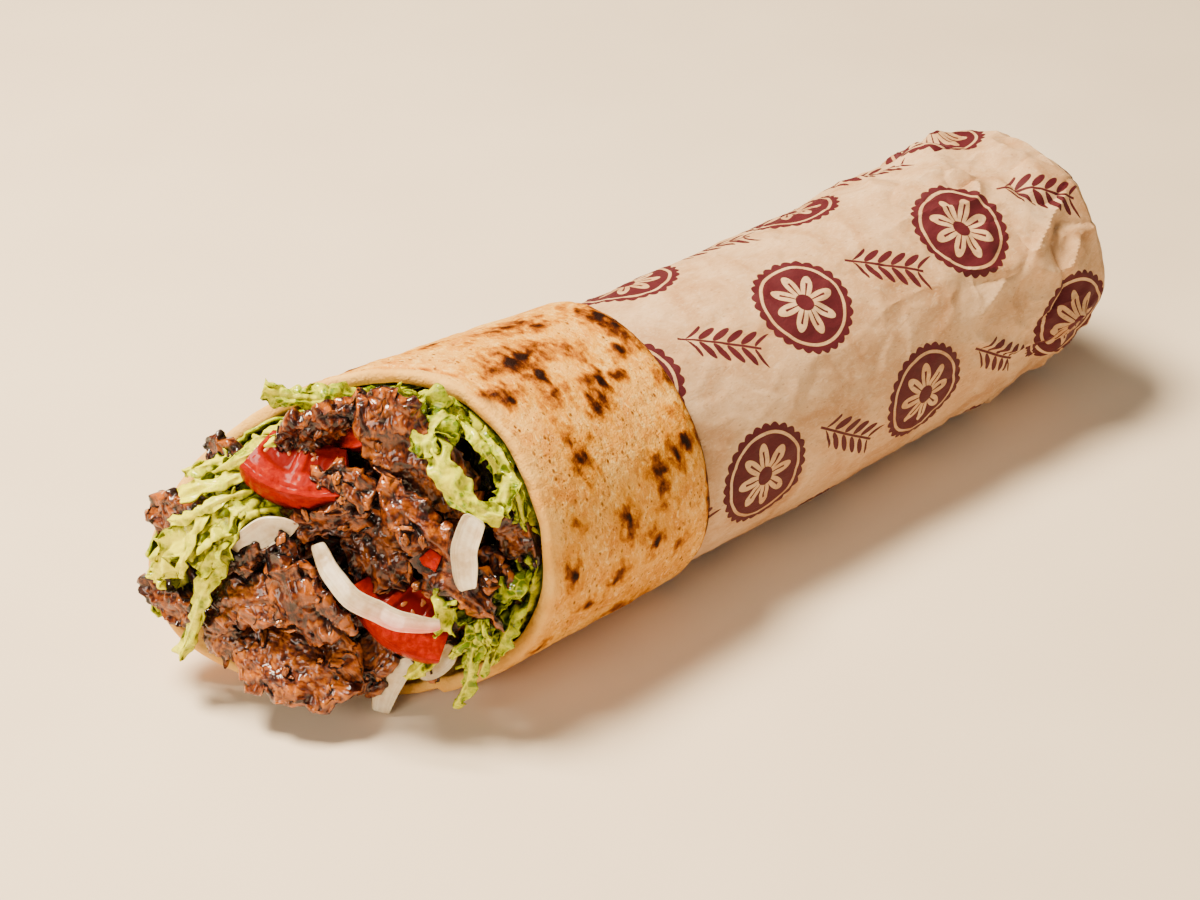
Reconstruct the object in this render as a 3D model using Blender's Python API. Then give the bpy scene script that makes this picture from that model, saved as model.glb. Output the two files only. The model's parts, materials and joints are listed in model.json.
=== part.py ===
"""Beef doner wrap: a flatbread rolled round its filling, held in a kraft paper sleeve, with meat,
lettuce, tomato and onion spilling from the open end.

Metres, +Z up. The wrap lies on its side along X, with its mouth towards -X and its folded tail
towards +X. The origin is on the flat base, a little behind the paper's front edge. Angles round
the wrap run from its top towards -Y.
"""

import math
import random

import bmesh
import bpy
from mathutils import Euler, Matrix, Vector, noise
from mathutils.kdtree import KDTree

MM = 0.001
TURN = 2 * math.pi

# Driving sizes of the wrap, all outside radii and stations along X
PAPER_RADIUS = 32.0 * MM
TAIL_RADIUS = 32.2 * MM
BREAD_RADIUS = 33.5 * MM  # where the bread bulges over the paper's front edge
MOUTH_FLARE = 0.035  # growth of the radius for each metre towards the mouth
PAPER_FRONT = -17.0 * MM
TAIL = 119.0 * MM
TAIL_ROUNDING = 4.0 * MM
TAIL_SQUARENESS = 0.025  # the folded tail is a little square: its diagonals reach out by twice this share
TAIL_PINCH = 0.16  # its lower -Y corner is drawn in, and its top is raised
TAIL_CREST = 0.045
SAG = 1.2 * MM  # a section that would reach this far below the table is flat there instead

# Walls and gaps
BREAD_WALL = 2.4 * MM
PAPER_WALL = 0.8 * MM
GAP = 0.35 * MM  # between touching pieces
FILLING_GAP = 0.6 * MM  # between the filling's layers, which have coarser sides than the bread
LETTUCE_LAYER = 4.5 * MM
RUFFLE_GAP = 1.5 * GAP  # round the thin ruffled leaves
SHELL_LIMIT = 2.5  # most that a sharp corner moves out when a piece is grown, as a share of its faces' way
SLIVER = 0.25 * MM  # shorter edges than this are closed after a cut
TOUCH = 0.005 * MM  # surfaces nearer than this are drawn apart

# The bread's roll: one turn of a spiral that ends in a step low on the -Y side
ROLL_STEP = 1.3 * MM
ROLL_SEAM = math.radians(152)
TUCK = 4.5 * MM  # length over which the bread dives under the paper

# The mouth: a slanting cut through the roll, furthest back high on the -Y side
RIM_X = -87.0 * MM
RIM_SLANT = 28.5 * MM
RIM_SLANT_TURN = math.radians(60)
RIM_BEND = 6.0 * MM
RIM_BEND_TURN = math.radians(-51)
MOUTH_CENTRE = Vector((-88.5 * MM, 0.0, 34.5 * MM))
MOUTH_NORMAL = Vector((-0.773, -0.571, 0.275)).normalized()
MOUTH_RIGHT = Vector((0, 0, 1)).cross(MOUTH_NORMAL).normalized()
MOUTH_UP = MOUTH_NORMAL.cross(MOUTH_RIGHT)
HEAP_RISE = 9.0 * MM  # how far the heap domes out of the mouth

ROUND_SIDES = 36
STATIONS = (30 * MM, 60 * MM, 90 * MM)  # along the paper's inside and the bread in it
COLOURS = {  # base colour and roughness
    "bread": ((0.78, 0.60, 0.38), 0.75),
    "paper": ((0.60, 0.43, 0.28), 0.8),
    "meat": ((0.27, 0.12, 0.06), 0.45),
    "lettuce": ((0.45, 0.58, 0.12), 0.4),
    "tomato": ((0.72, 0.06, 0.03), 0.25),
    "onion": ((0.85, 0.80, 0.68), 0.35),
}


# --- Sections of the wrap


def smooth(value):
    value = min(1.0, max(0.0, value))
    return value * value * (3 - 2 * value)


def rim_x(angle):
    slant = RIM_SLANT * math.cos(angle - RIM_SLANT_TURN)
    return RIM_X + slant + RIM_BEND * math.cos(2 * angle - RIM_BEND_TURN)


def paper_radius(x):
    share = (x - PAPER_FRONT) / (TAIL - PAPER_FRONT)
    return PAPER_RADIUS + (TAIL_RADIUS - PAPER_RADIUS) * share


def tucked(x):
    """0 where the bread is bare, 1 where it is inside the paper."""
    start = PAPER_FRONT - GAP - TUCK
    reach = min(1.0, max(0.0, (x - start) / TUCK))
    return 1 - math.sqrt(1 - reach * reach)


def bread_radius(x):
    bare = BREAD_RADIUS + MOUTH_FLARE * max(0.0, PAPER_FRONT - x)
    inside = paper_radius(max(x, PAPER_FRONT)) - PAPER_WALL - GAP
    return bare + (inside - bare) * tucked(x)


def centre_height(x):
    bare = BREAD_RADIUS + MOUTH_FLARE * max(0.0, PAPER_FRONT - x) - SAG
    inside = paper_radius(max(x, PAPER_FRONT)) - SAG
    return bare + (inside - bare) * tucked(x)


def bread_floor(x):
    return (PAPER_WALL + GAP) * tucked(x)


def cavity_radius(x):
    """The bread's inside narrows gently before it enters the paper."""
    share = smooth((x - PAPER_FRONT + 6 * TUCK) / (6 * TUCK))
    bare = BREAD_RADIUS + MOUTH_FLARE * max(0.0, PAPER_FRONT - x)
    inside = paper_radius(max(x, PAPER_FRONT)) - PAPER_WALL - GAP
    return bare + (inside - bare) * share - BREAD_WALL


def bump(angle, centre, reach):
    """1 at the centre, in degrees, falling to 0 at the reach."""
    away = abs((math.degrees(angle) - centre + 180) % 360 - 180)
    return 0.5 + 0.5 * math.cos(math.pi * min(1.0, away / reach))


def tail_shape(x, angle):
    """The share by which the folded tail departs from a circle."""
    square = TAIL_SQUARENESS * (1 - math.cos(4 * angle))
    square += TAIL_CREST * bump(angle, 0, 55) - TAIL_PINCH * bump(angle, 130, 55)
    return square * smooth((x - 25 * MM) / (TAIL - 25 * MM))


def on_section(x, angle, radius, floor):
    """A point of a section that is flat where it meets the floor, and squarer towards the tail."""
    radius *= 1 + tail_shape(x, angle)
    level = centre_height(x) + radius * math.cos(angle)
    return Vector((x, -radius * math.sin(angle), max(level, floor)))


def in_cavity(x, angle, inset):
    floor = bread_floor(x) + BREAD_WALL + inset
    return on_section(x, angle, cavity_radius(x) - inset, floor)


def in_mouth(u, v, w):
    """A point in the mouth's own frame, in millimetres: right, up and out of the wrap."""
    return MOUTH_CENTRE + (MOUTH_RIGHT * u + MOUTH_UP * v + MOUTH_NORMAL * w) * MM


def mouth_placement(u, v, w, turn=0.0, lean=0.0, pitch=0.0):
    """Local Z faces out of the mouth.

    turn is in the mouth's plane, lean tips the face up and pitch tips it right, all in degrees.
    """
    basis = Matrix((MOUTH_RIGHT, MOUTH_UP, MOUTH_NORMAL)).transposed().to_4x4()
    tip = Euler((math.radians(-lean), math.radians(pitch), math.radians(turn)), "XYZ").to_matrix().to_4x4()
    return Matrix.Translation(in_mouth(u, v, w)) @ basis @ tip


# --- Mesh helpers


def add_object(name, mesh, material):
    obj = bpy.data.objects.new(name, mesh)
    bpy.context.scene.collection.objects.link(obj)
    if material:
        mesh.materials.clear()
        mesh.materials.append(bpy.data.materials[material])
        mesh.shade_smooth()
        mesh.set_sharp_from_angle(angle=math.radians(40))
    return obj


def make_material(name, colour, roughness):
    material = bpy.data.materials.new(name)
    material.use_nodes = True
    shader = material.node_tree.nodes["Principled BSDF"]
    shader.inputs["Base Color"].default_value = (*colour, 1.0)
    shader.inputs["Roughness"].default_value = roughness
    shader.inputs["Metallic"].default_value = 0.0


def lofted(rings):
    """A closed mesh through rings of equally many points, its two ends closed by fans."""
    shape = bmesh.new()
    rows = [[shape.verts.new(point) for point in ring] for ring in rings]
    count = len(rows[0])
    for row, following in zip(rows, rows[1:]):
        for i in range(count):
            j = (i + 1) % count
            shape.faces.new((row[i], row[j], following[j], following[i]))
    for row, flipped in ((rows[0], True), (rows[-1], False)):
        middle = shape.verts.new(sum((vert.co for vert in row), Vector()) / count)
        for i in range(count):
            pair = (row[(i + 1) % count], row[i]) if flipped else (row[i], row[(i + 1) % count])
            shape.faces.new((*pair, middle))
    return finished(shape)


def sheet(grid_front, grid_back):
    """A closed mesh between two grids of points, both split into triangles alike."""
    shape = bmesh.new()
    front = [[shape.verts.new(point) for point in row] for row in grid_front]
    back = [[shape.verts.new(point) for point in row] for row in grid_back]
    for i in range(len(front) - 1):
        for j in range(len(front[0]) - 1):
            for grid, order in ((front, 1), (back, -1)):
                corners = (grid[i][j], grid[i + 1][j], grid[i + 1][j + 1], grid[i][j + 1])
                shape.faces.new((corners[0], corners[1], corners[2])[::order])
                shape.faces.new((corners[0], corners[2], corners[3])[::order])
    edge = [(0, j) for j in range(len(front[0]))]
    edge += [(i, len(front[0]) - 1) for i in range(1, len(front))]
    edge += [(len(front) - 1, j) for j in reversed(range(len(front[0]) - 1))]
    edge += [(i, 0) for i in reversed(range(1, len(front) - 1))]
    for (a, b), (c, d) in zip(edge, edge[1:] + edge[:1]):
        shape.faces.new((front[a][b], front[c][d], back[c][d], back[a][b]))
    return finished(shape)


def finished(shape):
    bmesh.ops.recalc_face_normals(shape, faces=shape.faces)
    mesh = bpy.data.meshes.new("shape")
    shape.to_mesh(mesh)
    shape.free()
    return mesh


def placed(mesh, matrix):
    mesh.transform(matrix)
    return mesh


def grown(mesh, amount):
    """A copy with its faces moved out evenly."""
    shape = bmesh.new()
    shape.from_mesh(mesh)
    shape.normal_update()
    moves = [vert.normal * amount * min(SHELL_LIMIT, vert.calc_shell_factor()) for vert in shape.verts]
    for vert, move in zip(shape.verts, moves):
        vert.co += move
    copy = bpy.data.meshes.new("grown")
    shape.to_mesh(copy)
    shape.free()
    return copy


def neighbours(vert):
    return {edge.other_vert(vert) for edge in vert.link_edges}


def best_ear(face):
    """The two corners beside the face's best ear whose cut is not an edge already."""
    corners, normal = list(face.verts), face.normal
    best, best_score = None, -math.inf
    for i, tip in enumerate(corners):
        before, after = corners[i - 1], corners[(i + 1) % len(corners)]
        if after in neighbours(before):
            continue
        triangle = (before.co, tip.co, after.co)
        sides = [triangle[k] - triangle[k - 1] for k in range(3)]
        score = sides[1].cross(sides[2]).dot(normal) / sum(side.length_squared for side in sides)
        others = [vert.co for vert in corners if vert not in (before, tip, after)]
        if score > 0 and any(within(co, triangle, normal) for co in others):
            score = -1 - score
        if score > best_score:
            best, best_score = (before, after), score
    return best


def within(co, triangle, normal):
    return all(
        (triangle[k] - triangle[k - 1]).cross(co - triangle[k - 1]).dot(normal) > 0 for k in range(3)
    )


def split_faces(shape):
    """Triangles throughout, with no edge made twice."""
    for face in list(shape.faces):
        face.normal_update()
        while len(face.verts) > 3:
            ear = best_ear(face)
            if ear is None:
                bmesh.ops.poke(shape, faces=[face])
                break
            other, _ = bmesh.utils.face_split(face, *ear)
            face = max(face, other, key=lambda part: len(part.verts))


def close_slivers(shape):
    """Collapses the shortest edges, where the surface stays whole."""
    for edge in sorted(shape.edges, key=lambda edge: edge.calc_length()):
        if not edge.is_valid or edge.calc_length() > SLIVER:
            continue
        start, end = edge.verts
        beside = set(edge.link_faces)
        triangles = sum(1 for face in beside if len(face.verts) == 3)
        shared = neighbours(start) & neighbours(end)
        if len(shared) == triangles and set(start.link_faces) & set(end.link_faces) == beside:
            bmesh.ops.collapse(shape, edges=[edge])


def part_touching(shape):
    """Draws apart surfaces that meet at a point, and says whether there were any."""
    shape.normal_update()
    found = False
    shape.verts.ensure_lookup_table()
    shape.verts.index_update()
    tree = KDTree(len(shape.verts))
    for vert in shape.verts:
        tree.insert(vert.co, vert.index)
    tree.balance()
    moves = []
    for vert in shape.verts:
        linked = neighbours(vert)
        for co, i, _ in tree.find_range(vert.co, TOUCH):
            if i == vert.index:
                continue
            apart = (vert.co - co).normalized() if shape.verts[i] in linked else -vert.normal
            moves.append((vert, apart * (2 + vert.index % 5) * TOUCH))
            found = True
    for vert, move in moves:
        vert.co += move
    return found


def cleaned(mesh):
    """Drops the loose scraps and the slivers that a cut leaves."""
    shape = bmesh.new()
    shape.from_mesh(mesh)
    unseen = set(shape.verts)
    bodies = []
    while unseen:
        todo, body = [unseen.pop()], []
        while todo:
            vert = todo.pop()
            body.append(vert)
            linked = neighbours(vert) & unseen
            unseen -= linked
            todo.extend(linked)
        bodies.append(body)
    bodies.sort(key=len)
    for body in bodies[:-1]:
        bmesh.ops.delete(shape, geom=body, context="VERTS")
    close_slivers(shape)
    split_faces(shape)
    while part_touching(shape):
        pass
    shape.to_mesh(mesh)
    shape.free()
    return mesh


def combined(mesh, others, operation):
    """One Boolean of the mesh with all the others.

    It takes the MANIFOLD solver: EXACT leaves open edges where this many thin curved pieces cross.
    """
    if not others:
        return mesh
    base = add_object("base", mesh, None)
    group = bpy.data.collections.new("operands")
    bpy.context.scene.collection.children.link(group)
    for other in others:
        group.objects.link(bpy.data.objects.new("operand", other))
    modifier = base.modifiers.new("combine", "BOOLEAN")
    modifier.operation = operation
    modifier.operand_type = "COLLECTION"
    modifier.collection = group
    modifier.solver = "MANIFOLD"
    bpy.context.view_layer.update()
    graph = bpy.context.evaluated_depsgraph_get()
    result = bpy.data.meshes.new_from_object(base.evaluated_get(graph))
    for obj in [base, *group.objects]:
        bpy.data.objects.remove(obj)
    bpy.data.collections.remove(group)
    return cleaned(result)


def fused(mesh, others):
    return combined(mesh, others, "UNION")


def cleared(mesh, firm, soft=()):
    """The mesh with room left round each neighbour, and more round the ruffled ones."""
    cutters = [grown(other, GAP) for other in firm]
    cutters += [grown(other, RUFFLE_GAP) for other in soft]
    return combined(mesh, cutters, "DIFFERENCE")


# --- Bread and paper


def angles_round():
    """Angles once round, starting and ending close to the bread's seam so that its step is steep."""
    margin = math.radians(1.0)
    turn = TURN - 2 * margin
    return [ROLL_SEAM + margin + turn * i / (ROUND_SIDES - 1) for i in range(ROUND_SIDES)]


def turn_share(angle, seam):
    return ((angle - seam) % TURN) / TURN


def dough(x, angle):
    """The gentle unevenness of baked dough."""
    return 0.35 * MM * noise.noise(Vector((x * 45, math.sin(angle) * 1.6, math.cos(angle) * 1.6)))


def bread_outside(x, angle):
    bare = 1 - tucked(x)
    radius = bread_radius(x) + bare * (ROLL_STEP * turn_share(angle, ROLL_SEAM) + dough(x, angle))
    return on_section(x, angle, radius, bread_floor(x))


def make_bread():
    angles = angles_round()
    end = TAIL - PAPER_WALL - GAP
    rings = []
    for share in (0.25, 0.75, 1.0):  # the closed inside, from its tail to the bare part
        radius_share = math.sqrt(1 - (1 - share) ** 2)
        x = end - BREAD_WALL - TAIL_ROUNDING * share
        rings.append(
            [in_cavity(x, angle, cavity_radius(x) * (1 - radius_share)) for angle in angles]
        )
    inner_end = PAPER_FRONT - TUCK
    for x in (*reversed(STATIONS), PAPER_FRONT + TUCK, inner_end):
        rings.append([in_cavity(x, angle, 0.0) for angle in angles])
    for share in (0.4, 0.75, 1.0):
        rings.append([in_cavity(along_mouth(angle, inner_end, share), angle, 0.0) for angle in angles])
    rings += rim_rings(angles)
    bulge = PAPER_FRONT - GAP - TUCK
    for share in (0.0, 0.2, 0.45, 0.75, 1.0):
        rings.append([bread_outside(along_mouth(angle, bulge, 1 - share), angle) for angle in angles])
    for share in (0.45, 0.75, 0.93, 1.0):
        rings.append([bread_outside(bulge + TUCK * share, angle) for angle in angles])
    for x in (*STATIONS, end - TAIL_ROUNDING):
        rings.append([bread_outside(x, angle) for angle in angles])
    for share in (0.4, 0.7, 0.9):
        x = end - TAIL_ROUNDING * (1 - share)
        scale = math.sqrt(1 - share**2)
        rings.append([shrunk(bread_outside(x, angle), scale) for angle in angles])
    return lofted(rings)


def along_mouth(angle, start, share):
    """From a straight station, share 0, to just behind the rim, share 1."""
    return start + (rim_x(angle) + BREAD_WALL / 2 - start) * share


def shrunk(point, scale):
    """Towards the wrap's axis."""
    middle = centre_height(point.x)
    return Vector((point.x, point.y * scale, middle + (point.z - middle) * scale))


def rim_rings(angles):
    """The rounded nose of the bread's edge, from its inside to its outside."""
    rings = []
    for swing in (35, 90, 145):
        ring = []
        for angle in angles:
            x = rim_x(angle) + BREAD_WALL / 2
            inner, outer = in_cavity(x, angle, 0.0), bread_outside(x, angle)
            share = (1 - math.cos(math.radians(swing))) / 2
            nose = BREAD_WALL / 2 * math.sin(math.radians(swing))
            ring.append(inner.lerp(outer, share) - Vector((nose, 0, 0)))
        rings.append(ring)
    return rings


def crumple(x, angle):
    """The paper's creases, deeper towards the folded tail."""
    depth = 0.15 + 0.75 * smooth((x - 50 * MM) / (60 * MM))
    spot = Vector((x * 60, math.sin(angle) * 2.2, math.cos(angle) * 2.2))
    return depth * MM * (abs(noise.noise(spot)) * 1.6 - 0.4)


def paper_outside(x, angle):
    return on_section(x, angle, paper_radius(x) + crumple(x, angle), 0.0)


def make_paper():
    angles = angles_round()
    end = TAIL - PAPER_WALL
    rings = []
    for share in (0.9, 0.7, 0.4, 0.0):  # the inside, round the bread's tail
        x = end - TAIL_ROUNDING * (1 - share)
        scale = math.sqrt(1 - share**2)
        rings.append([shrunk(paper_inside(x, angle), scale) for angle in angles])
    for x in (*reversed(STATIONS), PAPER_FRONT):
        rings.append([paper_inside(x, angle) for angle in angles])
    for i in range(13):
        x = PAPER_FRONT + (TAIL - TAIL_ROUNDING - PAPER_FRONT) * i / 12
        rings.append([paper_outside(x, angle) for angle in angles])
    for share in (0.5, 1.0):
        x = TAIL - TAIL_ROUNDING * (1 - share)
        scale = 1 - 0.08 * share**2
        rings.append([shrunk(paper_outside(x, angle), scale) for angle in angles])
    rings += pleated_end(angles)
    return lofted(rings)


def paper_inside(x, angle):
    return on_section(x, angle, paper_radius(x) - PAPER_WALL, PAPER_WALL)


def pleated_end(angles):
    """The folded-in end: pleats that run to its middle."""
    rings = []
    for scale in (0.55, 0.25):
        ring = []
        for angle in angles:
            point = shrunk(paper_outside(TAIL, angle), scale)
            pleat = 0.9 * MM * math.cos(5 * angle + 6 * scale) * scale
            ring.append(point + Vector((pleat + 0.8 * MM * (1 - scale), 0, 0)))
        rings.append(ring)
    return rings


# --- Filling


def sector(angle, start, stop):
    """0 outside a sector, rising to 1 inside it."""
    into = (angle - start) % TURN
    wide = (stop - start) % TURN
    if into >= wide:
        return 0.0
    return smooth(min(into, wide - into) / math.radians(18))


LETTUCE_FAR = (math.radians(236), math.radians(352))
LETTUCE_NEAR = (math.radians(8), math.radians(140))
LETTUCE_MARGIN = math.radians(6)  # by which the meat makes room beyond a layer's edges
MEAT_TAIL = TAIL - TAIL_ROUNDING - 8 * MM
LETTUCE_TAIL = 70 * MM
FILLING_SETBACK = 1.5 * MM  # of the bare core behind the bread's rim


def filling_x(angle, start, share):
    """Straight across in the paper, slanting with the rim at the mouth."""
    slanted = smooth(share * 1.3 - 0.3)
    straight = start + (RIM_X - start) * share
    rim = rim_x(angle) + FILLING_SETBACK
    return straight + (rim - RIM_X) * slanted


def make_meat_core():
    angles = [TURN * i / 24 for i in range(24)]
    rings = []
    for share in (0.0, 0.3, 0.6, 0.85, 1.0):
        ring = []
        for angle in angles:
            x = filling_x(angle, MEAT_TAIL, share)
            beside = 0.0
            if x < LETTUCE_TAIL:
                for start, stop in (LETTUCE_FAR, LETTUCE_NEAR):
                    beside = max(beside, sector(angle, start - LETTUCE_MARGIN, stop + LETTUCE_MARGIN))
            ring.append(in_cavity(x, angle, FILLING_GAP + beside * (LETTUCE_LAYER + FILLING_GAP)))
        rings.append(ring)
    edge = rings[-1]
    middle = sum(edge, Vector()) / len(edge)
    for swing in (30, 60, 80):
        out = MOUTH_NORMAL * HEAP_RISE * math.sin(math.radians(swing))
        rings.append(
            [middle + (point - middle) * math.cos(math.radians(swing)) + out for point in edge]
        )
    return lofted(rings)


def make_lettuce_layer(start, stop):
    """A layer of lettuce between the meat and the bread, tapering to its two edges."""
    across, along = 9, 7
    front, back = [], []
    for i in range(along):
        rows = [], []
        for j in range(across):
            angle = start + ((stop - start) % TURN) * j / (across - 1)
            x = filling_x(angle, LETTUCE_TAIL, i / (along - 1))
            thick = LETTUCE_LAYER * max(0.12, sector(angle, start, stop))
            rows[0].append(in_cavity(x, angle, FILLING_GAP))
            rows[1].append(in_cavity(x, angle, FILLING_GAP + thick))
        front.append(rows[0])
        back.append(rows[1])
    return sheet(front, back)


def slab(length, width, thick, curl, ragged, seed, along=6, across=4):
    """A shaved slice: a thin bent slab with a ragged outline, thinner at its edges. It bows out along Z."""
    front, back = [], []
    offset = Vector((seed * 7.31, seed * 3.17, seed * 1.73))
    for i in range(along):
        rows = [], []
        for j in range(across):
            a, b = 2 * i / (along - 1) - 1, 2 * j / (across - 1) - 1
            narrow = math.sqrt(max(0.0, 1 - abs(a) ** 3)) * 0.75 + 0.25
            spot = offset + Vector((a * 2.1, b * 1.7, 0))
            wander = [ragged * noise.noise(spot + Vector((0, 0, shift))) for shift in (0, 20)]
            x = a * length / 2 * (1 - 0.12 * b * b)
            y = b * width / 2 * narrow
            edge = max(abs(a) ** 3, abs(b) ** 3)
            bow = curl * (1 - a * a) - curl * 0.5 * b * b
            ripple = 1.1 * noise.noise(offset + Vector((a * 2.6, b * 2.2, 5.0)))
            half = thick / 2 * (1 - 0.5 * edge)
            middle = Vector((x + wander[0], y + wander[1], bow + ripple)) * MM
            rows[0].append(middle + Vector((0, 0, half * MM)))
            rows[1].append(middle - Vector((0, 0, half * MM)))
        front.append(rows[0])
        back.append(rows[1])
    return sheet(front, back)


# Meat slices: place (u, v, w), turn, lean, pitch, then length, width, thickness and curl in millimetres
MEAT_SLICES = [
    (-6, 31, 6, 34, -25, 0, 24, 10, 3.0, 2.0),
    (11, 28, 7, -52, 0, 10, 28, 17, 3.0, 2.0),
    (16, 10, 11, -39, 10, 0, 42, 15, 3.2, 3.5),
    (0, 19, 12, -20, 10, 0, 15, 9, 3.0, 1.0),
    (-3, 11, 11, 18, -10, 0, 18, 9, 3.0, 1.5),
    (5, 4, 7, -62, 0, 0, 19, 14, 3.2, 1.5),
    (-19, 0, 10, 28, -20, 0, 20, 9, 3.0, 2.0),
    (-20, -10, 12, 12, 15, -10, 23, 17, 3.4, 2.5),
    (-8, -8, 12, -58, 0, 10, 22, 13, 3.2, 2.0),
    (-5, -3, 14, -50, -30, 0, 26, 7, 2.6, 2.0),
    (-10, -24, 9, -14, 25, 0, 30, 23, 3.6, 3.0),
    (-21, -23, 5, 20, 10, -15, 19, 13, 3.2, 1.0),
    (5, -24, 2, 70, 0, 15, 18, 13, 3.4, 1.0),
    (35, 9, 1, -72, 0, 10, 18, 9, 3.0, 1.0),
    (31, -2, 3, -60, 0, 0, 17, 11, 3.0, 1.0),
    (24, 0, 9, 12, 10, 0, 18, 10, 3.0, 1.5),
    (19, 18, 4, -45, 0, 0, 22, 14, 3.2, 1.0),
    (-14, 14, 3, 30, 0, 0, 22, 14, 3.2, 1.0),
    (-28, -4, 4, 70, 0, -10, 24, 14, 3.2, 1.0),
    (-37, 4, 5, 8, 0, -20, 24, 11, 4.0, 1.0),
    (-38, -13, 6, -10, 0, -20, 22, 9, 4.0, 1.0),
    (-29, 19, 3, -14, 0, -15, 16, 8, 3.4, 1.0),
    (-28, -21, 6, 60, 0, -15, 16, 11, 3.4, 1.0),
]

# Lettuce shreds: width in millimetres, then the points (u, v, w) that the shred passes through
FAR_SHREDS = [
    (8, (4, 31, -8), (-5, 33, -1), (-13, 33, 4), (-21, 32, 7)),
    (7, (-6, 31, -4), (-14, 30, 3), (-24, 22, 7), (-34, 14, 10)),
    (7, (-24, 17, -2), (-26, 14, 8), (-31, 14, 12), (-38, 15, 11)),
    (9, (-28, 6, -3), (-27, 7, 9), (-34, 3, 14), (-42, -2, 12)),
    (8, (-30, 10, -3), (-24, 9, 11), (-29, 0, 16), (-37, -8, 13)),
    (7, (-33, 0, -3), (-27, 1, 12), (-31, -8, 16), (-34, -17, 14), (-38, -28, 10)),
]
NEAR_SHREDS = [
    (8, (8, 31, -6), (11, 34, 3), (15, 31, 9), (14, 25, 13)),
    (7, (14, 32, 6), (17, 26, 13), (24, 19, 15), (32, 15, 12)),
    (8, (17, 30, -4), (24, 28, 4), (31, 24, 6), (35, 17, 6)),
    (7, (31, 26, -3), (32, 24, 6), (33, 18, 11), (31, 13, 11)),
    (7, (36, -3, -4), (28, -4, 8), (22, -6, 12), (21, -12, 11)),
    (7, (36, -8, -4), (30, -9, 8), (27, -17, 9), (26, -26, 6), (26, -32, 4)),
    (7, (37, -4, -3), (35, -9, 6), (33, -16, 8), (32, -22, 6)),
]


def curve_through(points, share):
    """A point of the Catmull-Rom curve through the points, share from 0 to 1."""
    spans = len(points) - 1
    index = min(int(share * spans), spans - 1)
    t = share * spans - index
    before = points[max(index - 1, 0)]
    start, end = points[index], points[index + 1]
    after = points[min(index + 2, spans)]
    return 0.5 * (
        2 * start
        + (end - before) * t
        + (2 * before - 5 * start + 4 * end - after) * t * t
        + (3 * start - before - 3 * end + after) * t**3
    )


def make_shred(width, points, seed, along=10):
    """A ruffled strip of leaf along a path, facing out of the mouth."""
    thick, ruffle = 1.3 * MM, 3.0 * MM
    path = [in_mouth(*point) for point in points]
    front, back = [], []
    for i in range(along):
        share = i / (along - 1)
        here = curve_through(path, share)
        ahead = curve_through(path, min(1.0, share + 0.05)) - curve_through(path, max(0.0, share - 0.05))
        side = ahead.cross(MOUTH_NORMAL).normalized()
        face = side.cross(ahead).normalized()
        half = width * MM / 2 * (0.55 + 0.45 * math.sin(math.pi * min(1.0, 0.2 + share * 0.72)))
        rows = [], []
        for b in (-1, 0, 1):
            spot = Vector((share * 5.5, b * 3.3, seed * 5.7))
            reach = half * b * (1 + 0.7 * noise.noise(spot + Vector((0, 0, 50))))
            wave = ruffle * (0.3 + 0.7 * abs(b)) * noise.noise(spot)
            middle = here + side * reach + face * (wave - 0.1 * half * abs(b))
            rows[0].append(middle + face * thick / 2)
            rows[1].append(middle - face * thick / 2)
        front.append(rows[0])
        back.append(rows[1])
    return sheet(front, back)


def make_tomato_slice(radius, arc, depth, thick, sides=12):
    """Part of a round slice, in millimetres: its skin is an arc that faces -Y, its cut face is at Z 0."""
    rings = []
    bulge = 0.5  # of the skin, at half thickness
    for level, out in ((0.0, -0.4), (-0.12, 0.0), (-0.5, bulge), (-0.88, 0.1), (-1.0, -0.4)):
        swing = [math.radians(arc) * (i / sides - 0.5) for i in range(sides + 1)]
        skin = [
            Vector(((radius + out) * math.sin(t), radius - (radius + out) * math.cos(t), level * thick))
            for t in swing
        ]
        half = radius * math.sin(math.radians(arc) / 2)
        low = radius - radius * math.cos(math.radians(arc) / 2)
        inner = max(depth, low + 1)
        core = [Vector((side * half, inner, level * thick)) for side in (0.7, -0.7)]
        rings.append([point * MM for point in skin + core])
    return lofted(rings)


def make_onion_slice(radius, arc, width, thick, sides=8):
    """Part of an onion ring that bows towards -Y: a rounded band in the XY plane. All in millimetres."""
    rings = []
    for i in range(sides + 1):
        swing = math.radians(arc) * (i / sides - 0.5)
        end = 0.7 if i in (0, sides) else 1.0
        ring = []
        for k in range(8):
            roll = TURN * k / 8
            out = width / 2 * end * math.copysign(abs(math.cos(roll)) ** 0.6, math.cos(roll))
            rise = thick / 2 * end * math.copysign(abs(math.sin(roll)) ** 0.6, math.sin(roll))
            reach = radius + out
            ring.append(Vector((reach * math.sin(swing), radius - reach * math.cos(swing), rise)) * MM)
        rings.append(ring)
    return lofted(rings)


# Toppings: the shape's sizes, then its place (u, v, w), turn, lean and pitch
TOMATOES = {
    "tomato_upper": ((24, 58, 13, 8), (-11, 17, 16, -8, 48, 0)),
    "tomato_lower": ((20, 74, 14, 7), (10, -13, 14, -34, 38, 0)),
    "tomato_inner": ((22, 40, 9, 5), (0, 25, 3, 20, 30, 0)),
}
TOMATO_BIT = ((6, 40, 3.5, 3.5), (19, 5, 15, -30, 20, 0))
ONIONS = {
    "onion_long": ((24, 78, 5.0, 2.6), (7, -4.5, 18, -27, 12, 0)),
    "onion_left": ((22, 44, 6.4, 2.6), (-17, 6.5, 14, 212, 15, 0)),
    "onion_right": ((20, 46, 6.2, 2.6), (27, 9, 15, -92, 0, 0)),
    "onion_low": ((20, 42, 5.4, 2.6), (8.5, -28.8, 2, 244, 0, 0)),
    "onion_low_right": ((18, 34, 5.0, 2.6), (19.3, -21.9, 3.2, 44, 10, 0)),
}


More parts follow.
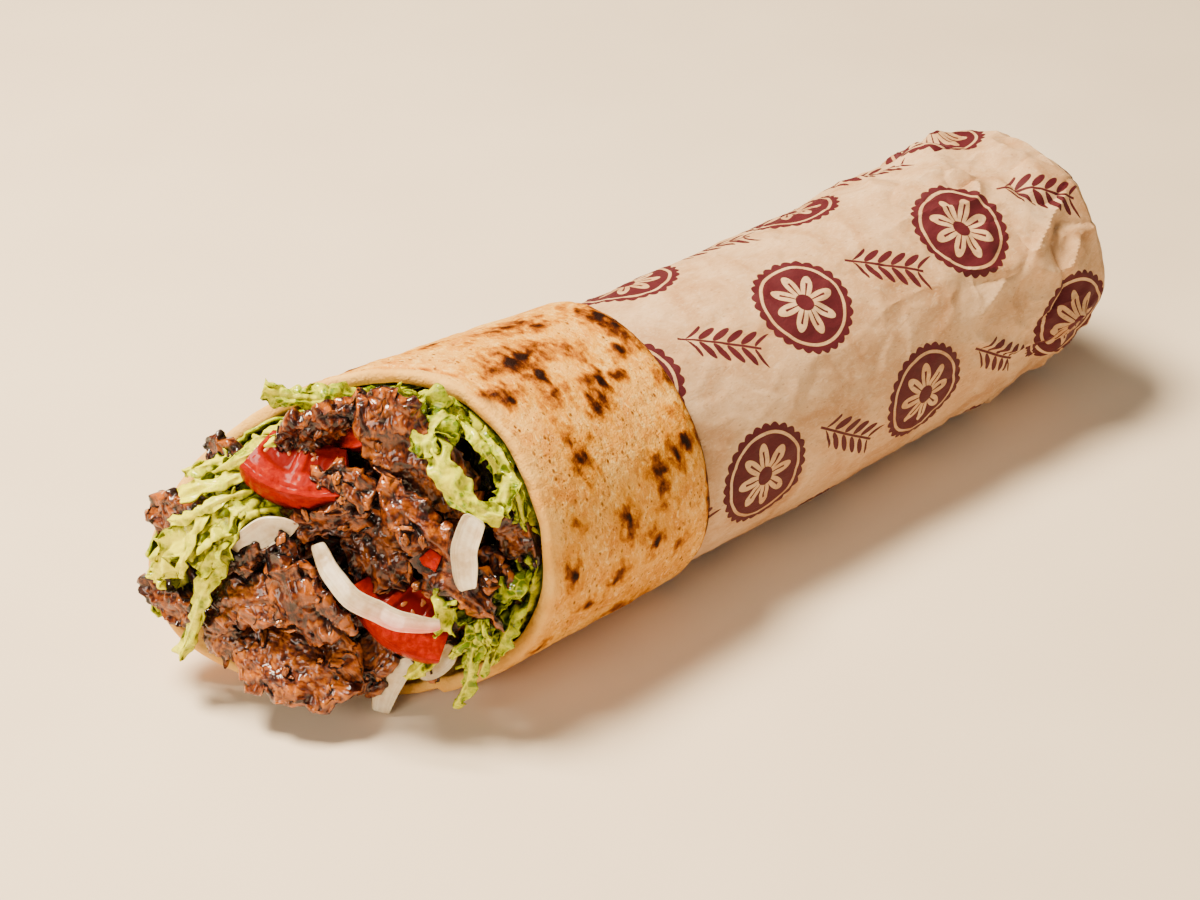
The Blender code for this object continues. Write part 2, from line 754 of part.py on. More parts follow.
def scattered_slices(count, seed):
    """Small slices that cover the rest of the heap's face."""
    chance = random.Random(seed)
    slices = []
    for _ in range(count):
        away, bearing = 30 * math.sqrt(chance.random()), chance.uniform(0, TURN)
        u, v = away * math.cos(bearing), away * 0.8 * math.sin(bearing)
        w = 6 * math.cos(away / 34 * math.pi / 2)
        turn, lean = chance.uniform(-90, 90), chance.uniform(-25, 25)
        slices.append((u, v, w, turn, lean, 0, chance.uniform(10, 16), chance.uniform(6, 10), 3.0, 1.0))
    return slices


def make_meat_slices():
    return [
        placed(
            slab(length, width, thick, curl, 1.6, seed),
            mouth_placement(u, v, w, turn, lean, pitch),
        )
        for seed, (u, v, w, turn, lean, pitch, length, width, thick, curl) in enumerate(
            MEAT_SLICES + scattered_slices(5, 11)
        )
    ]


def make_lettuce(layer, shreds, first_seed):
    """A layer and its shreds, not yet fused: each alone leaves a clean print in the meat."""
    strips = [make_shred(width, points, first_seed + i) for i, (width, *points) in enumerate(shreds)]
    return [make_lettuce_layer(*layer), *strips]


def clear_scene():
    for obj in list(bpy.data.objects):
        bpy.data.objects.remove(obj)


def main():
    clear_scene()
    for name, (colour, roughness) in COLOURS.items():
        make_material(name, colour, roughness)
    bread = make_bread()
    toppings = {
        name: placed(make_tomato_slice(*sizes), mouth_placement(*place))
        for name, (sizes, place) in TOMATOES.items()
    }
    bit_sizes, bit_place = TOMATO_BIT
    toppings["tomato_bit"] = placed(make_tomato_slice(*bit_sizes, sides=4), mouth_placement(*bit_place))
    onions = {
        name: placed(make_onion_slice(*sizes), mouth_placement(*place))
        for name, (sizes, place) in ONIONS.items()
    }
    firm = [bread, *toppings.values(), *onions.values()]
    far = make_lettuce(LETTUCE_FAR, FAR_SHREDS, 1)
    near = make_lettuce(LETTUCE_NEAR, NEAR_SHREDS, 21)
    meat = cleared(fused(make_meat_core(), make_meat_slices()), firm, [*far, *near])

    add_object("flatbread", bread, "bread")
    add_object("paper_sleeve", make_paper(), "paper")
    add_object("meat_heap", meat, "meat")
    add_object("lettuce_far", cleared(fused(far[0], far[1:]), firm), "lettuce")
    add_object("lettuce_near", cleared(fused(near[0], near[1:]), firm), "lettuce")
    for name, mesh in toppings.items():
        add_object(name, mesh, "tomato")
    for name, mesh in onions.items():
        add_object(name, mesh, "onion")


main()
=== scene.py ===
"""Looks of the beef doner wrap: toasted flatbread, printed kraft paper and the filling at the mouth.

Metres, +Z up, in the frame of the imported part. The mouth faces -X and the folded tail +X. Angles
round the wrap run from its top towards -Y. Lists of places are in millimetres.
"""

import json
import math
import random

import bpy
import numpy as np
from mathutils import Euler, Matrix, Vector, noise
from mathutils.bvhtree import BVHTree

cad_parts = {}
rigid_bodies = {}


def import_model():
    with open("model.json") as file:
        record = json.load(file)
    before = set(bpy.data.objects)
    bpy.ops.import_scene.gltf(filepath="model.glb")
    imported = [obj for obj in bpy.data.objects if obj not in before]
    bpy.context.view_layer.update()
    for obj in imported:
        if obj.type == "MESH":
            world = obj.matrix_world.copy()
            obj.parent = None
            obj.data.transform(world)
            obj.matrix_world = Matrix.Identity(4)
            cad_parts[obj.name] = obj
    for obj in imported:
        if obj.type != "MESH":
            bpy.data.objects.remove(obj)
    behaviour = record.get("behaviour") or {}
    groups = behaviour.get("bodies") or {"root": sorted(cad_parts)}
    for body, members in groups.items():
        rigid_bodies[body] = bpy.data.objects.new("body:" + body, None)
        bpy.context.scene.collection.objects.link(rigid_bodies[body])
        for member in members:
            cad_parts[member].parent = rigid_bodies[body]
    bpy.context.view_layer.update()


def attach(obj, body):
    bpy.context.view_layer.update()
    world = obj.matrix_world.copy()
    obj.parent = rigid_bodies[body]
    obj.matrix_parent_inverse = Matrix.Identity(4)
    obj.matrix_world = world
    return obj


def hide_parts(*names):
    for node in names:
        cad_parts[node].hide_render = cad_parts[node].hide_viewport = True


MM = 0.001
TURN = 2 * math.pi

# The wrap's sizes, as in its solids
PAPER_RADIUS = 32.0 * MM
TAIL_RADIUS = 32.2 * MM
BREAD_RADIUS = 33.5 * MM
MOUTH_FLARE = 0.035
PAPER_FRONT = -17.0 * MM
TAIL = 119.0 * MM
TAIL_ROUNDING = 4.0 * MM
TAIL_SHAPE_START = 25.0 * MM
TAIL_SQUARENESS = 0.025
TAIL_PINCH = 0.16
TAIL_CREST = 0.045
SAG = 1.2 * MM
BREAD_WALL = 2.4 * MM
PAPER_WALL = 0.8 * MM
GAP = 0.35 * MM
FILLING_GAP = 0.6 * MM
ROLL_STEP = 1.3 * MM
ROLL_SEAM = math.radians(152)
TUCK = 4.5 * MM
RIM_X = -87.0 * MM
RIM_SLANT = 28.5 * MM
RIM_SLANT_TURN = math.radians(60)
RIM_BEND = 6.0 * MM
RIM_BEND_TURN = math.radians(-51)
MOUTH_CENTRE = Vector((-88.5 * MM, 0.0, 34.5 * MM))
MOUTH_NORMAL = Vector((-0.773, -0.571, 0.275)).normalized()
MOUTH_RIGHT = Vector((0, 0, 1)).cross(MOUTH_NORMAL).normalized()
MOUTH_UP = MOUTH_NORMAL.cross(MOUTH_RIGHT)
HEAP_RISE = 9.0 * MM

PAPER_EDGE = 0.3 * MM  # thickness that shows at the front of the sleeve
TABLE_GAP = 0.25 * MM  # of loose pieces above the table
SPILL_GAP = 0.5 * MM  # of loose pieces inside the bread
SPILL_BLEND = 3.0 * MM  # in front of the rim, where the bread stops holding them


# --- Places on the wrap, for numbers or arrays of them


def smooth(value):
    value = np.clip(value, 0.0, 1.0)
    return value * value * (3 - 2 * value)


def blend(first, second, share):
    return first + (second - first) * share


def stacked(x, y, z):
    return np.stack(np.broadcast_arrays(x, y, z), axis=-1)


def rim_x(angle):
    slant = RIM_SLANT * np.cos(angle - RIM_SLANT_TURN)
    return RIM_X + slant + RIM_BEND * np.cos(2 * angle - RIM_BEND_TURN)


def paper_radius(x):
    return blend(PAPER_RADIUS, TAIL_RADIUS, (x - PAPER_FRONT) / (TAIL - PAPER_FRONT))


def inside_paper(x):
    return paper_radius(np.maximum(x, PAPER_FRONT)) - PAPER_WALL - GAP


def tucked(x):
    """0 where the bread is bare, 1 where it is inside the paper."""
    reach = np.clip((x - PAPER_FRONT + GAP + TUCK) / TUCK, 0.0, 1.0)
    return 1 - np.sqrt(1 - reach * reach)


def bare_radius(x):
    return BREAD_RADIUS + MOUTH_FLARE * np.maximum(0.0, PAPER_FRONT - x)


def bread_radius(x):
    return blend(bare_radius(x), inside_paper(x), tucked(x))


def centre_height(x):
    return blend(bare_radius(x), paper_radius(np.maximum(x, PAPER_FRONT)), tucked(x)) - SAG


def bread_floor(x):
    return (PAPER_WALL + GAP) * tucked(x)


def cavity_radius(x):
    share = smooth((x - PAPER_FRONT + 6 * TUCK) / (6 * TUCK))
    return blend(bare_radius(x), inside_paper(x), share) - BREAD_WALL


def hump(angle, centre, reach):
    """1 at the centre, in degrees, falling to 0 at the reach."""
    away = np.abs((np.degrees(angle) - centre + 180) % 360 - 180)
    return 0.5 + 0.5 * np.cos(math.pi * np.minimum(1.0, away / reach))


def tail_shape(x, angle):
    """How far the section leaves a circle: squarer at the tail, crested on top and pinched below."""
    square = TAIL_SQUARENESS * (1 - np.cos(4 * angle))
    square = square + TAIL_CREST * hump(angle, 0, 55) - TAIL_PINCH * hump(angle, 130, 55)
    return square * smooth((x - TAIL_SHAPE_START) / (TAIL - TAIL_SHAPE_START))


def on_section(x, angle, radius, floor):
    radius = radius * (1 + tail_shape(x, angle))
    level = centre_height(x) + radius * np.cos(angle)
    return stacked(x, -radius * np.sin(angle), np.maximum(level, floor))


def in_cavity(x, angle, inset):
    floor = bread_floor(x) + BREAD_WALL + inset
    return on_section(x, angle, cavity_radius(x) - inset, floor)


def in_mouth(u, v, w):
    """A point in the mouth's own frame, in millimetres: right, up and out of the wrap."""
    return MOUTH_CENTRE + (MOUTH_RIGHT * u + MOUTH_UP * v + MOUTH_NORMAL * w) * MM


def mouth_placement(u, v, w, turn, lean, pitch):
    """Local Z faces out of the mouth, as in the solids."""
    basis = Matrix((MOUTH_RIGHT, MOUTH_UP, MOUTH_NORMAL)).transposed().to_4x4()
    angles = [math.radians(value) for value in (-lean, pitch, turn)]
    return Matrix.Translation(in_mouth(u, v, w)) @ basis @ Euler(angles, "XYZ").to_matrix().to_4x4()


def kept_in(points):
    """Filling behind the rim stays inside the bread, and all of it stays above the table."""
    x, y = points[..., 0], points[..., 1]
    middle = centre_height(x)
    rise = points[..., 2] - middle
    angle, reach = np.arctan2(-y, rise), np.hypot(y, rise)
    behind = smooth((x - rim_x(angle) + SPILL_BLEND) / SPILL_BLEND)
    limit = (cavity_radius(x) - SPILL_GAP) * (1 + tail_shape(x, angle))
    reach = blend(reach, np.minimum(reach, limit), behind)
    floor = TABLE_GAP + (bread_floor(x) + BREAD_WALL) * behind
    return stacked(x, -reach * np.sin(angle), np.maximum(middle + reach * np.cos(angle), floor))


def moved(points, matrix):
    turn = np.array(matrix.to_3x3())
    return points @ turn.T + np.array(matrix.translation)


# --- Repeatable noise for arrays of points


def hashed(cell, salt):
    """Repeatable numbers from -1 to 1 for whole-number cells."""
    x, y, z = (cell[..., k].astype(np.int64).astype(np.uint64) for k in range(3))
    mixed = x * np.uint64(73856093) ^ y * np.uint64(19349663) ^ z * np.uint64(83492791)
    mixed = (mixed ^ np.uint64(salt * 2654435761 % 2**32)) & np.uint64(0xFFFFFFFF)
    for factor in (2246822519, 3266489917):
        mixed = (mixed ^ (mixed >> np.uint64(15))) * np.uint64(factor) & np.uint64(0xFFFFFFFF)
    mixed = mixed ^ (mixed >> np.uint64(16))
    return mixed.astype(float) / 2**31 - 1


def lumps(points, size, salt=0):
    """Smooth noise from about -1 to 1 whose lumps have the given size."""
    spots = points / size
    cell = np.floor(spots)
    part = spots - cell
    ease = part**3 * (part * (part * 6 - 15) + 10)
    total = 0.0
    for corner in np.ndindex(2, 2, 2):
        weight = np.prod(np.where(corner, ease, 1 - ease), axis=-1)
        slope = np.stack([hashed(cell + corner, 3 * salt + k) for k in range(3)], axis=-1)
        total = total + weight * (slope * (part - corner)).sum(axis=-1)
    return total * 1.6


def layered(base, points, *layers):
    """The base with lumps added to it, each layer as (amount, size, salt)."""
    for amount, size, salt in layers:
        base = base + amount * lumps(points, size, salt)
    return base


def pebbles(points, size, salt=0):
    """Rounded bumps with sharp creases between them, from 0 to about 1."""
    return np.minimum(1.0, 2.2 * np.abs(lumps(points, size, salt)))


def soft_noise(spots):
    """The noise that the solids use, for an array of places."""
    flat = spots.reshape(-1, 3)
    return np.array([noise.noise(Vector(spot)) for spot in flat]).reshape(spots.shape[:-1])


def round_spots(x, angle, along, around):
    """Places for noise that goes round the wrap without a seam."""
    return stacked(x * along, np.sin(angle) * around, np.cos(angle) * around)


# --- Meshes


def crossed(first, second):
    """Two grids, with the first list down the rows and the second along the columns."""
    return np.meshgrid(first, second, indexing="ij")


def grid_faces(rows, columns, closed=False):
    """Quads of a grid of points, joined round if it is closed."""
    last = columns if closed else columns - 1
    i, j = crossed(np.arange(rows - 1), np.arange(last))
    right = (j + 1) % columns
    corners = ((i, j), (i, right), (i + 1, right), (i + 1, j))
    return np.stack([row * columns + column for row, column in corners], -1).reshape(-1, 4).tolist()


def tube_faces(rows, columns):
    """Faces of a closed tube whose ends are fans round two more points at the end of the list."""
    faces = grid_faces(rows, columns, closed=True)
    first, last = rows * columns, rows * columns + 1
    for j in range(columns):
        k = (j + 1) % columns
        faces.append([k, j, first])
        faces.append([first - columns + j, first - columns + k, last])
    return faces


def with_ends(grid):
    """The grid's values with the middle of its first and last row."""
    flat = grid.reshape(-1, *grid.shape[2:])
    return np.concatenate([flat, grid[:1].mean(axis=1), grid[-1:].mean(axis=1)])


def slab_faces(rows, columns):
    """Faces of a closed slab between a front and a back grid."""
    faces = grid_faces(rows, columns)
    back = rows * columns
    faces += [[corner + back for corner in reversed(face)] for face in faces]
    edge = list(range(columns))
    edge += [i * columns + columns - 1 for i in range(1, rows)]
    edge += [(rows - 1) * columns + j for j in reversed(range(columns - 1))]
    edge += [i * columns for i in reversed(range(1, rows - 1))]
    for a, b in zip(edge, edge[1:] + edge[:1]):
        faces.append([b, a, a + back, b + back])
    return faces


def signed_volume(points, faces):
    """Above 0 where the faces of a closed shape look outwards."""
    total = 0.0
    centred = points - points.mean(axis=0)
    for size in (3, 4):
        corners = np.array([face for face in faces if len(face) == size])
        for k in range(2, size if len(corners) else 0):
            a, b, c = (centred[corners[:, i]] for i in (0, k - 1, k))
            total += (a * np.cross(b, c)).sum()
    return total


def read_vectors(items, name):
    values = np.empty(len(items) * 3)
    items.foreach_get(name, values)
    return values.reshape(-1, 3)


class Bunch:
    """Parts that become one piece. A trait is a number for each point that the material reads."""

    def __init__(self, *traits):
        self.points, self.faces, self.kinds = [], [], []
        self.traits = {name: [] for name in traits}
        self.count = 0

    def add(self, points, faces, kind=0, **traits):
        points = points.reshape(-1, 3)
        if signed_volume(points, faces) < 0:
            faces = [face[::-1] for face in faces]
        self.points.append(points)
        self.faces += [[corner + self.count for corner in face] for face in faces]
        self.kinds += [kind] * len(faces)
        for name, values in self.traits.items():
            values.append(np.broadcast_to(np.ravel(traits.get(name, 0.0)), len(points)))
        self.count += len(points)

    def add_tube(self, grid, placed=None, kind=0, **traits):
        """A closed tube from a grid with a row for each ring. Placed moves its points."""
        points = with_ends(grid)
        for name, values in traits.items():
            traits[name] = with_ends(values) if np.ndim(values) == 2 else values
        self.add(placed(points) if placed else points, tube_faces(*grid.shape[:2]), kind, **traits)

    def add_slab(self, sides, **traits):
        """A closed slab from its two sides. A trait that has one grid goes for both."""
        for name, values in traits.items():
            traits[name] = np.stack([values, values]) if np.ndim(values) == 2 else values
        self.add(sides, slab_faces(*sides.shape[1:3]), **traits)

    def make(self, name, *materials, sharp=None):
        """The piece. Edges that turn by more than sharp, in degrees, stay hard."""
        mesh = bpy.data.meshes.new(name)
        mesh.from_pydata(np.concatenate(self.points).tolist(), [], self.faces)
        for material in materials:
            mesh.materials.append(material)
        mesh.polygons.foreach_set("material_index", self.kinds)
        for trait, values in self.traits.items():
            made = mesh.attributes.new(trait, "FLOAT", "POINT")
            made.data.foreach_set("value", np.concatenate(values).astype(np.float32))
        mesh.shade_smooth()
        if sharp:
            mesh.set_sharp_from_angle(angle=math.radians(sharp))
        return placed_in_scene(bpy.data.objects.new(name, mesh))


def placed_in_scene(made):
    bpy.context.scene.collection.objects.link(made)
    return made


# --- Materials


class Value:
    """A number in a material's nodes that can be written in sums and products."""

    def __init__(self, paint, socket):
        self.paint, self.socket = paint, socket

    def __add__(self, other):
        return self.paint.math("ADD", self, other)

    def __sub__(self, other):
        return self.paint.math("SUBTRACT", self, other)

    def __mul__(self, other):
        return self.paint.math("MULTIPLY", self, other)

    def __truediv__(self, other):
        return self.paint.math("DIVIDE", self, other)

    def __mod__(self, other):
        return self.paint.math("FLOORED_MODULO", self, other)

    def __abs__(self):
        return self.paint.math("ABSOLUTE", self)


class Paint:
    """A material's node graph, built by short calls. Sizes are in metres."""

    def __init__(self, name, roughness, **constants):
        self.material = bpy.data.materials.new(name)
        self.material.use_nodes = True
        self.tree = self.material.node_tree
        self.shader = self.tree.nodes["Principled BSDF"]
        self.shader.inputs["Roughness"].default_value = roughness
        for socket, value in constants.items():
            self.shader.inputs[socket.replace("_", " ")].default_value = value
        self.place = self.node("ShaderNodeTexCoord", {}, "Object")

    def node(self, kind, inputs, output=0, **settings):
        made = self.tree.nodes.new(kind)
        for name, value in settings.items():
            setattr(made, name, value)
        for key, value in inputs.items():
            self.feed(made.inputs[key], value)
        return Value(self, made.outputs[output])

    def feed(self, socket, value):
        if isinstance(value, Value):
            self.tree.links.new(value.socket, socket)
        elif socket.type == "RGBA":
            socket.default_value = (*value, 1.0)
        else:
            socket.default_value = value

    def math(self, operation, *values, clamp=False):
        inputs = dict(enumerate(values))
        return self.node("ShaderNodeMath", inputs, operation=operation, use_clamp=clamp)

    def trait(self, name):
        return self.node("ShaderNodeAttribute", {}, "Fac", attribute_name=name)

    def noise(self, size, detail=2.0, roughness=0.5, distortion=0.0, place=None):
        inputs = {"Vector": place or self.place, "Scale": 1 / size, "Detail": detail}
        inputs.update({"Roughness": roughness, "Distortion": distortion})
        return self.node("ShaderNodeTexNoise", inputs, "Fac")

    def cells(self, size, place=None, feature="F1"):
        inputs = {"Vector": place or self.place, "Scale": 1 / size}
        return self.node("ShaderNodeTexVoronoi", inputs, "Distance", feature=feature)

    def stretched(self, x, y, z):
        """The place with each axis scaled, which draws the noise out along the small ones."""
        return self.node("ShaderNodeVectorMath", {0: self.place, 1: (x, y, z)}, operation="MULTIPLY")

    def between(self, value, low, high):
        """0 below low, 1 above high, smooth in between. High may be the lower one."""
        inputs = {"Value": value, "From Min": low, "From Max": high}
        return self.node("ShaderNodeMapRange", inputs, interpolation_type="SMOOTHSTEP")

    def mix(self, share, first, second, blend_type="MIX"):
        inputs = {0: share, 6: first, 7: second}
        return self.node("ShaderNodeMix", inputs, 2, data_type="RGBA", blend_type=blend_type)

    def ramp(self, value, *stops):
        """Colours along the value, each stop as (position, red, green, blue)."""
        made = self.node("ShaderNodeValToRGB", {"Fac": value})
        elements = made.socket.node.color_ramp.elements
        while len(elements) < len(stops):
            elements.new(0.5)
        for element, (position, *colour) in zip(elements, stops):
            element.position = position
            element.color = (*colour, 1.0)
        return made

    def bump(self, height, distance, strength=1.0, after=None):
        inputs = {"Height": height, "Distance": distance, "Strength": strength}
        if after:
            inputs["Normal"] = after
        return self.node("ShaderNodeBump", inputs)

    def done(self, colour, roughness=None, normal=None):
        for socket, value in (("Base Color", colour), ("Roughness", roughness), ("Normal", normal)):
            if value:
                self.feed(self.shader.inputs[socket], value)
        return self.material


def bread_material():
    """Pale dough with freckles, orange-brown toast and dark char, and a floury rim."""
    paint = Paint("flatbread", 0.7, Specular_IOR_Level=0.06)
    char = paint.trait("char")
    mottle = paint.noise(7 * MM, 3.0, 0.6)
    grain = paint.noise(1.1 * MM, 2.0, 0.6)
    fine = paint.noise(0.45 * MM, 1.0)
    drawn = paint.stretched(1.0, 0.6, 0.6)
    colour = paint.ramp(
        mottle, (0.3, 0.80, 0.42, 0.080), (0.52, 0.73, 0.33, 0.038), (0.72, 0.60, 0.21, 0.014)
    )
    streaks = paint.noise(1.1 * MM, 4.0, 0.7, 0.8, drawn)
    colour = paint.mix(paint.between(streaks, 0.5, 0.68) * 0.8, colour, (0.46, 0.15, 0.010))
    colour = paint.mix(paint.between(streaks, 0.48, 0.32) * 0.8, colour, (0.92, 0.60, 0.19))
    patchy = paint.between(paint.noise(4 * MM, 1.0), 0.34, 0.54)
    for size, low in ((1.7, 0.25), (1.0, 0.22)):
        freckles = paint.between(paint.cells(size * MM, drawn), low, low - 0.13) * patchy
        colour = paint.mix(freckles * 0.95, colour, (0.16, 0.040, 0.003))
    mottled = paint.noise(2.0 * MM, 5.0, 0.65, 0.4, drawn) * 1.3 - 0.66
    heat = mottled * paint.between(char, 0.0, 0.3) + char + grain * 0.24 - 0.14
    browned = paint.ramp(
        heat,
        (0.05, 0.74, 0.35, 0.012),
        (0.20, 0.56, 0.20, 0.001),
        (0.38, 0.27, 0.070, 0.001),
        (0.60, 0.075, 0.014, 0.001),
        (0.85, 0.014, 0.004, 0.002),
    )
    toast = paint.between(heat, 0.02, 0.2)
    colour = paint.mix(toast, colour, browned)
    pale = paint.ramp(mottle, (0.3, 0.87, 0.49, 0.12), (0.7, 0.74, 0.34, 0.045))
    colour = paint.mix(paint.trait("pale"), colour, pale)
    normal = paint.bump(fine, 0.15 * MM, 0.8, paint.bump(grain, 0.35 * MM, 0.9))
    return paint.done(colour, toast * -0.14 + 0.74, normal)


def paper_material():
    """Kraft paper: fibres, soft grease stains, and a maroon print of rosettes and grain sprigs."""
    paint = Paint("kraft_paper", 0.72, Specular_IOR_Level=0.25)
    drawn = paint.stretched(0.5, 1.0, 1.0)
    fibres = paint.noise(0.9 * MM, 3.0, 0.65, 1.2, drawn)
    specks = paint.between(paint.cells(1.7 * MM, drawn), 0.16, 0.06)
    stain = paint.noise(16 * MM, 3.0, 0.6, 0.8)
    colour = paint.ramp(
        stain, (0.35, 0.68, 0.43, 0.225), (0.52, 0.59, 0.335, 0.155), (0.68, 0.46, 0.225, 0.085)
    )
    colour = paint.mix(paint.between(fibres, 0.5, 0.75) * 0.4, colour, (0.38, 0.20, 0.085))
    colour = paint.mix(paint.between(fibres, 0.5, 0.3) * 0.35, colour, (0.76, 0.55, 0.34))
    colour = paint.mix(specks * 0.4, colour, (0.22, 0.10, 0.04))
    ink = paint.mix(fibres, (0.055, 0.003, 0.006), (0.10, 0.009, 0.013))
    colour = paint.mix(printed(paint), colour, ink)
    return paint.done(colour, stain * -0.3 + 0.85, paint.bump(fibres, 0.18 * MM, 0.6))


# The print, in millimetres
MOTIF_PITCH = (52.0, 33.5)  # along and round the wrap
ROSETTE = 12.0  # its outer radius
SPRIG_LEAN = math.radians(32)
LEAF_PITCH = 3.4


def printed(paint):
    """Where the ink is: rosettes in staggered rows, with a sprig of leaves between them."""
    spot = paint.node("ShaderNodeUVMap", {}, uv_map="print")
    along, around = (paint.node("ShaderNodeSeparateXYZ", {0: spot}, k) for k in (0, 1))
    wide, tall = MOTIF_PITCH
    row = paint.math("FLOOR", around / tall)
    x = (along + row % 2.0 * (wide / 2)) % wide - wide / 2
    y = around % tall - tall / 2
    side = (x + wide) % wide - wide / 2
    return paint.math("MAXIMUM", rosette_ink(paint, x, y), sprig_ink(paint, side, y))


def rosette_ink(paint, x, y):
    """A scalloped disc with a pale ring and a pale eight-petalled flower."""
    away = paint.math("SQRT", x * x + y * y)
    bearing = paint.math("ARCTAN2", y, x)
    scallop = abs(paint.math("SINE", bearing * 14.0))
    disc = paint.between(away - (scallop * 0.8 + ROSETTE), 0.1, -0.1)
    ring = paint.between(abs(away - (ROSETTE - 1.5)), 0.45, 0.3)
    petals = abs(paint.math("COSINE", bearing * 4.0))
    flower = paint.between(away - (petals * 5.4 + 2.8), 0.1, -0.1)
    heart = paint.between(away, 2.4, 2.2)
    veins = paint.between(abs(petals - 1.0), 0.03, 0.015) * paint.between(away, 6.2, 6.0)
    flower = paint.math("SUBTRACT", flower, paint.math("MAXIMUM", heart, veins), clamp=True)
    return paint.math("SUBTRACT", disc, paint.math("MAXIMUM", ring, flower), clamp=True)


def sprig_ink(paint, x, y):
    """A slanting stem with pairs of leaves that lean forward from it."""
    s = x * math.cos(SPRIG_LEAN) + y * math.sin(SPRIG_LEAN)
    t = y * math.cos(SPRIG_LEAN) - x * math.sin(SPRIG_LEAN)
    beside = abs(t)
    stem = paint.between(beside, 0.4, 0.25) * paint.between(abs(s), 10.2, 10.0)
    forward = s - beside * 0.9
    local = (forward % LEAF_PITCH - LEAF_PITCH / 2) / 1.15
    out = (beside - 2.3) / 2.0
    leaf = paint.between(local * local + out * out, 1.05, 0.9)
    return paint.math("MAXIMUM", stem, leaf * paint.between(abs(forward), 8.6, 8.4))


MEAT_TRAITS = ("tone", "rim", "char", "hollow", "run", "over", "closed")


def meat_material():
    """Roasted beef: lighter glazed strands, orange edges and char on the tips, with painted shade in
    the creases and between the pieces.
    """
    paint = Paint("doner_meat", 0.4, Specular_IOR_Level=0.15, Coat_Weight=0.8, Coat_Roughness=0.04)
    tone, rim, char, hollow, run, over, closed = (paint.trait(name) for name in MEAT_TRAITS)
    patches = paint.noise(3.6 * MM, 3.0, 0.6, 0.4)
    grain = paint.noise(0.7 * MM, 3.0, 0.65, 0.3)
    fibre_place = paint.node("ShaderNodeCombineXYZ", {0: run * 0.22, 1: over})
    fibres = paint.noise(0.75, 3.0, 0.6, 0.4, fibre_place)
    # Painted shade: the colour darkens down into the creases of the relief and lightens on its
    # crests.
    colour = paint.ramp(
        patches * 0.75 + tone * 0.06 + fibres * 0.35 + 0.15 - hollow * 0.42,
        (0.30, 0.012, 0.0015, 0.0008),
        (0.42, 0.058, 0.0075, 0.001),
        (0.54, 0.190, 0.034, 0.002),
        (0.70, 0.450, 0.120, 0.006),
    )
    pinkish = paint.between(paint.noise(8 * MM, 1.0), 0.58, 0.7)
    colour = paint.mix(pinkish * 0.4, colour, (0.17, 0.040, 0.016))
    glaze = paint.between(paint.noise(4.5 * MM, 2.0), 0.5, 0.64) * (rim * 0.6 + 0.25)
    colour = paint.mix(glaze, colour, (0.52, 0.125, 0.003))
    # Painted shade: the deepest creases go nearly black.
    colour = paint.mix(paint.between(hollow, 0.62, 0.97) * 0.65, colour, (0.040, 0.005, 0.001))
    # Painted shade: darker where other pieces crowd round, as in the gaps between slices.
    closed = paint.between(closed, 0.08, 0.34)
    colour = paint.mix(closed, colour, (0.10, 0.06, 0.05), "MULTIPLY")
    burnt = paint.between(char + patches * 1.4 - 0.85, 0.2, 0.75)
    colour = paint.mix(burnt, colour, (0.016, 0.005, 0.003))
    specks = paint.between(paint.cells(1.5 * MM), 0.13, 0.06)
    colour = paint.mix(specks * 0.7, colour, (0.02, 0.006, 0.003))
    normal = paint.bump(grain, 0.3 * MM, 0.8, paint.bump(fibres, 0.5 * MM, 0.9))
    return paint.done(colour, closed * 0.5 + grain * 0.5 + 0.08, normal)


def lettuce_material():
    """Crisp yellow-green leaf, paler along its ribs and darker at its frilled edge."""
    paint = Paint(
        "lettuce", 0.3, Specular_IOR_Level=0.05, Coat_Weight=0.35, Coat_Roughness=0.04,
        Subsurface_Weight=0.5, Subsurface_Radius=(1.0, 1.0, 0.1), Subsurface_Scale=1.0 * MM,
    )
    patches = paint.noise(3 * MM, 3.0, 0.65)
    veins = paint.cells(2.6 * MM, feature="DISTANCE_TO_EDGE")
    # The value carries the shreds' own tone and the painted shade of the right-hand shreds.
    colour = paint.ramp(
        patches + paint.trait("tone") * 0.13,
        (0.32, 0.12, 0.19, 0.0005),
        (0.45, 0.50, 0.54, 0.0005),
        (0.60, 0.93, 0.86, 0.001),
    )
    colour = paint.mix(paint.between(veins, 0.1, 0.02) * 0.4, colour, (0.93, 0.86, 0.006))
    colour = paint.mix(paint.trait("rib") * 0.6, colour, (0.94, 0.88, 0.04))
    edge = paint.trait("edge") * paint.between(patches, 0.4, 0.62)
    colour = paint.mix(edge * 0.55, colour, (0.26, 0.34, 0.003))
    # Painted shade: darker where other pieces crowd round the leaf.
    closed = paint.between(paint.trait("closed"), 0.2, 0.7)
    colour = paint.mix(closed, colour, (0.16, 0.19, 0.10), "MULTIPLY")
    crisp = paint.noise(0.8 * MM, 2.0)
    normal = paint.bump(crisp, 0.25 * MM, 0.6, paint.bump(veins, 0.3 * MM, 0.5))
    return paint.done(colour, patches * 0.3 + 0.12, normal)


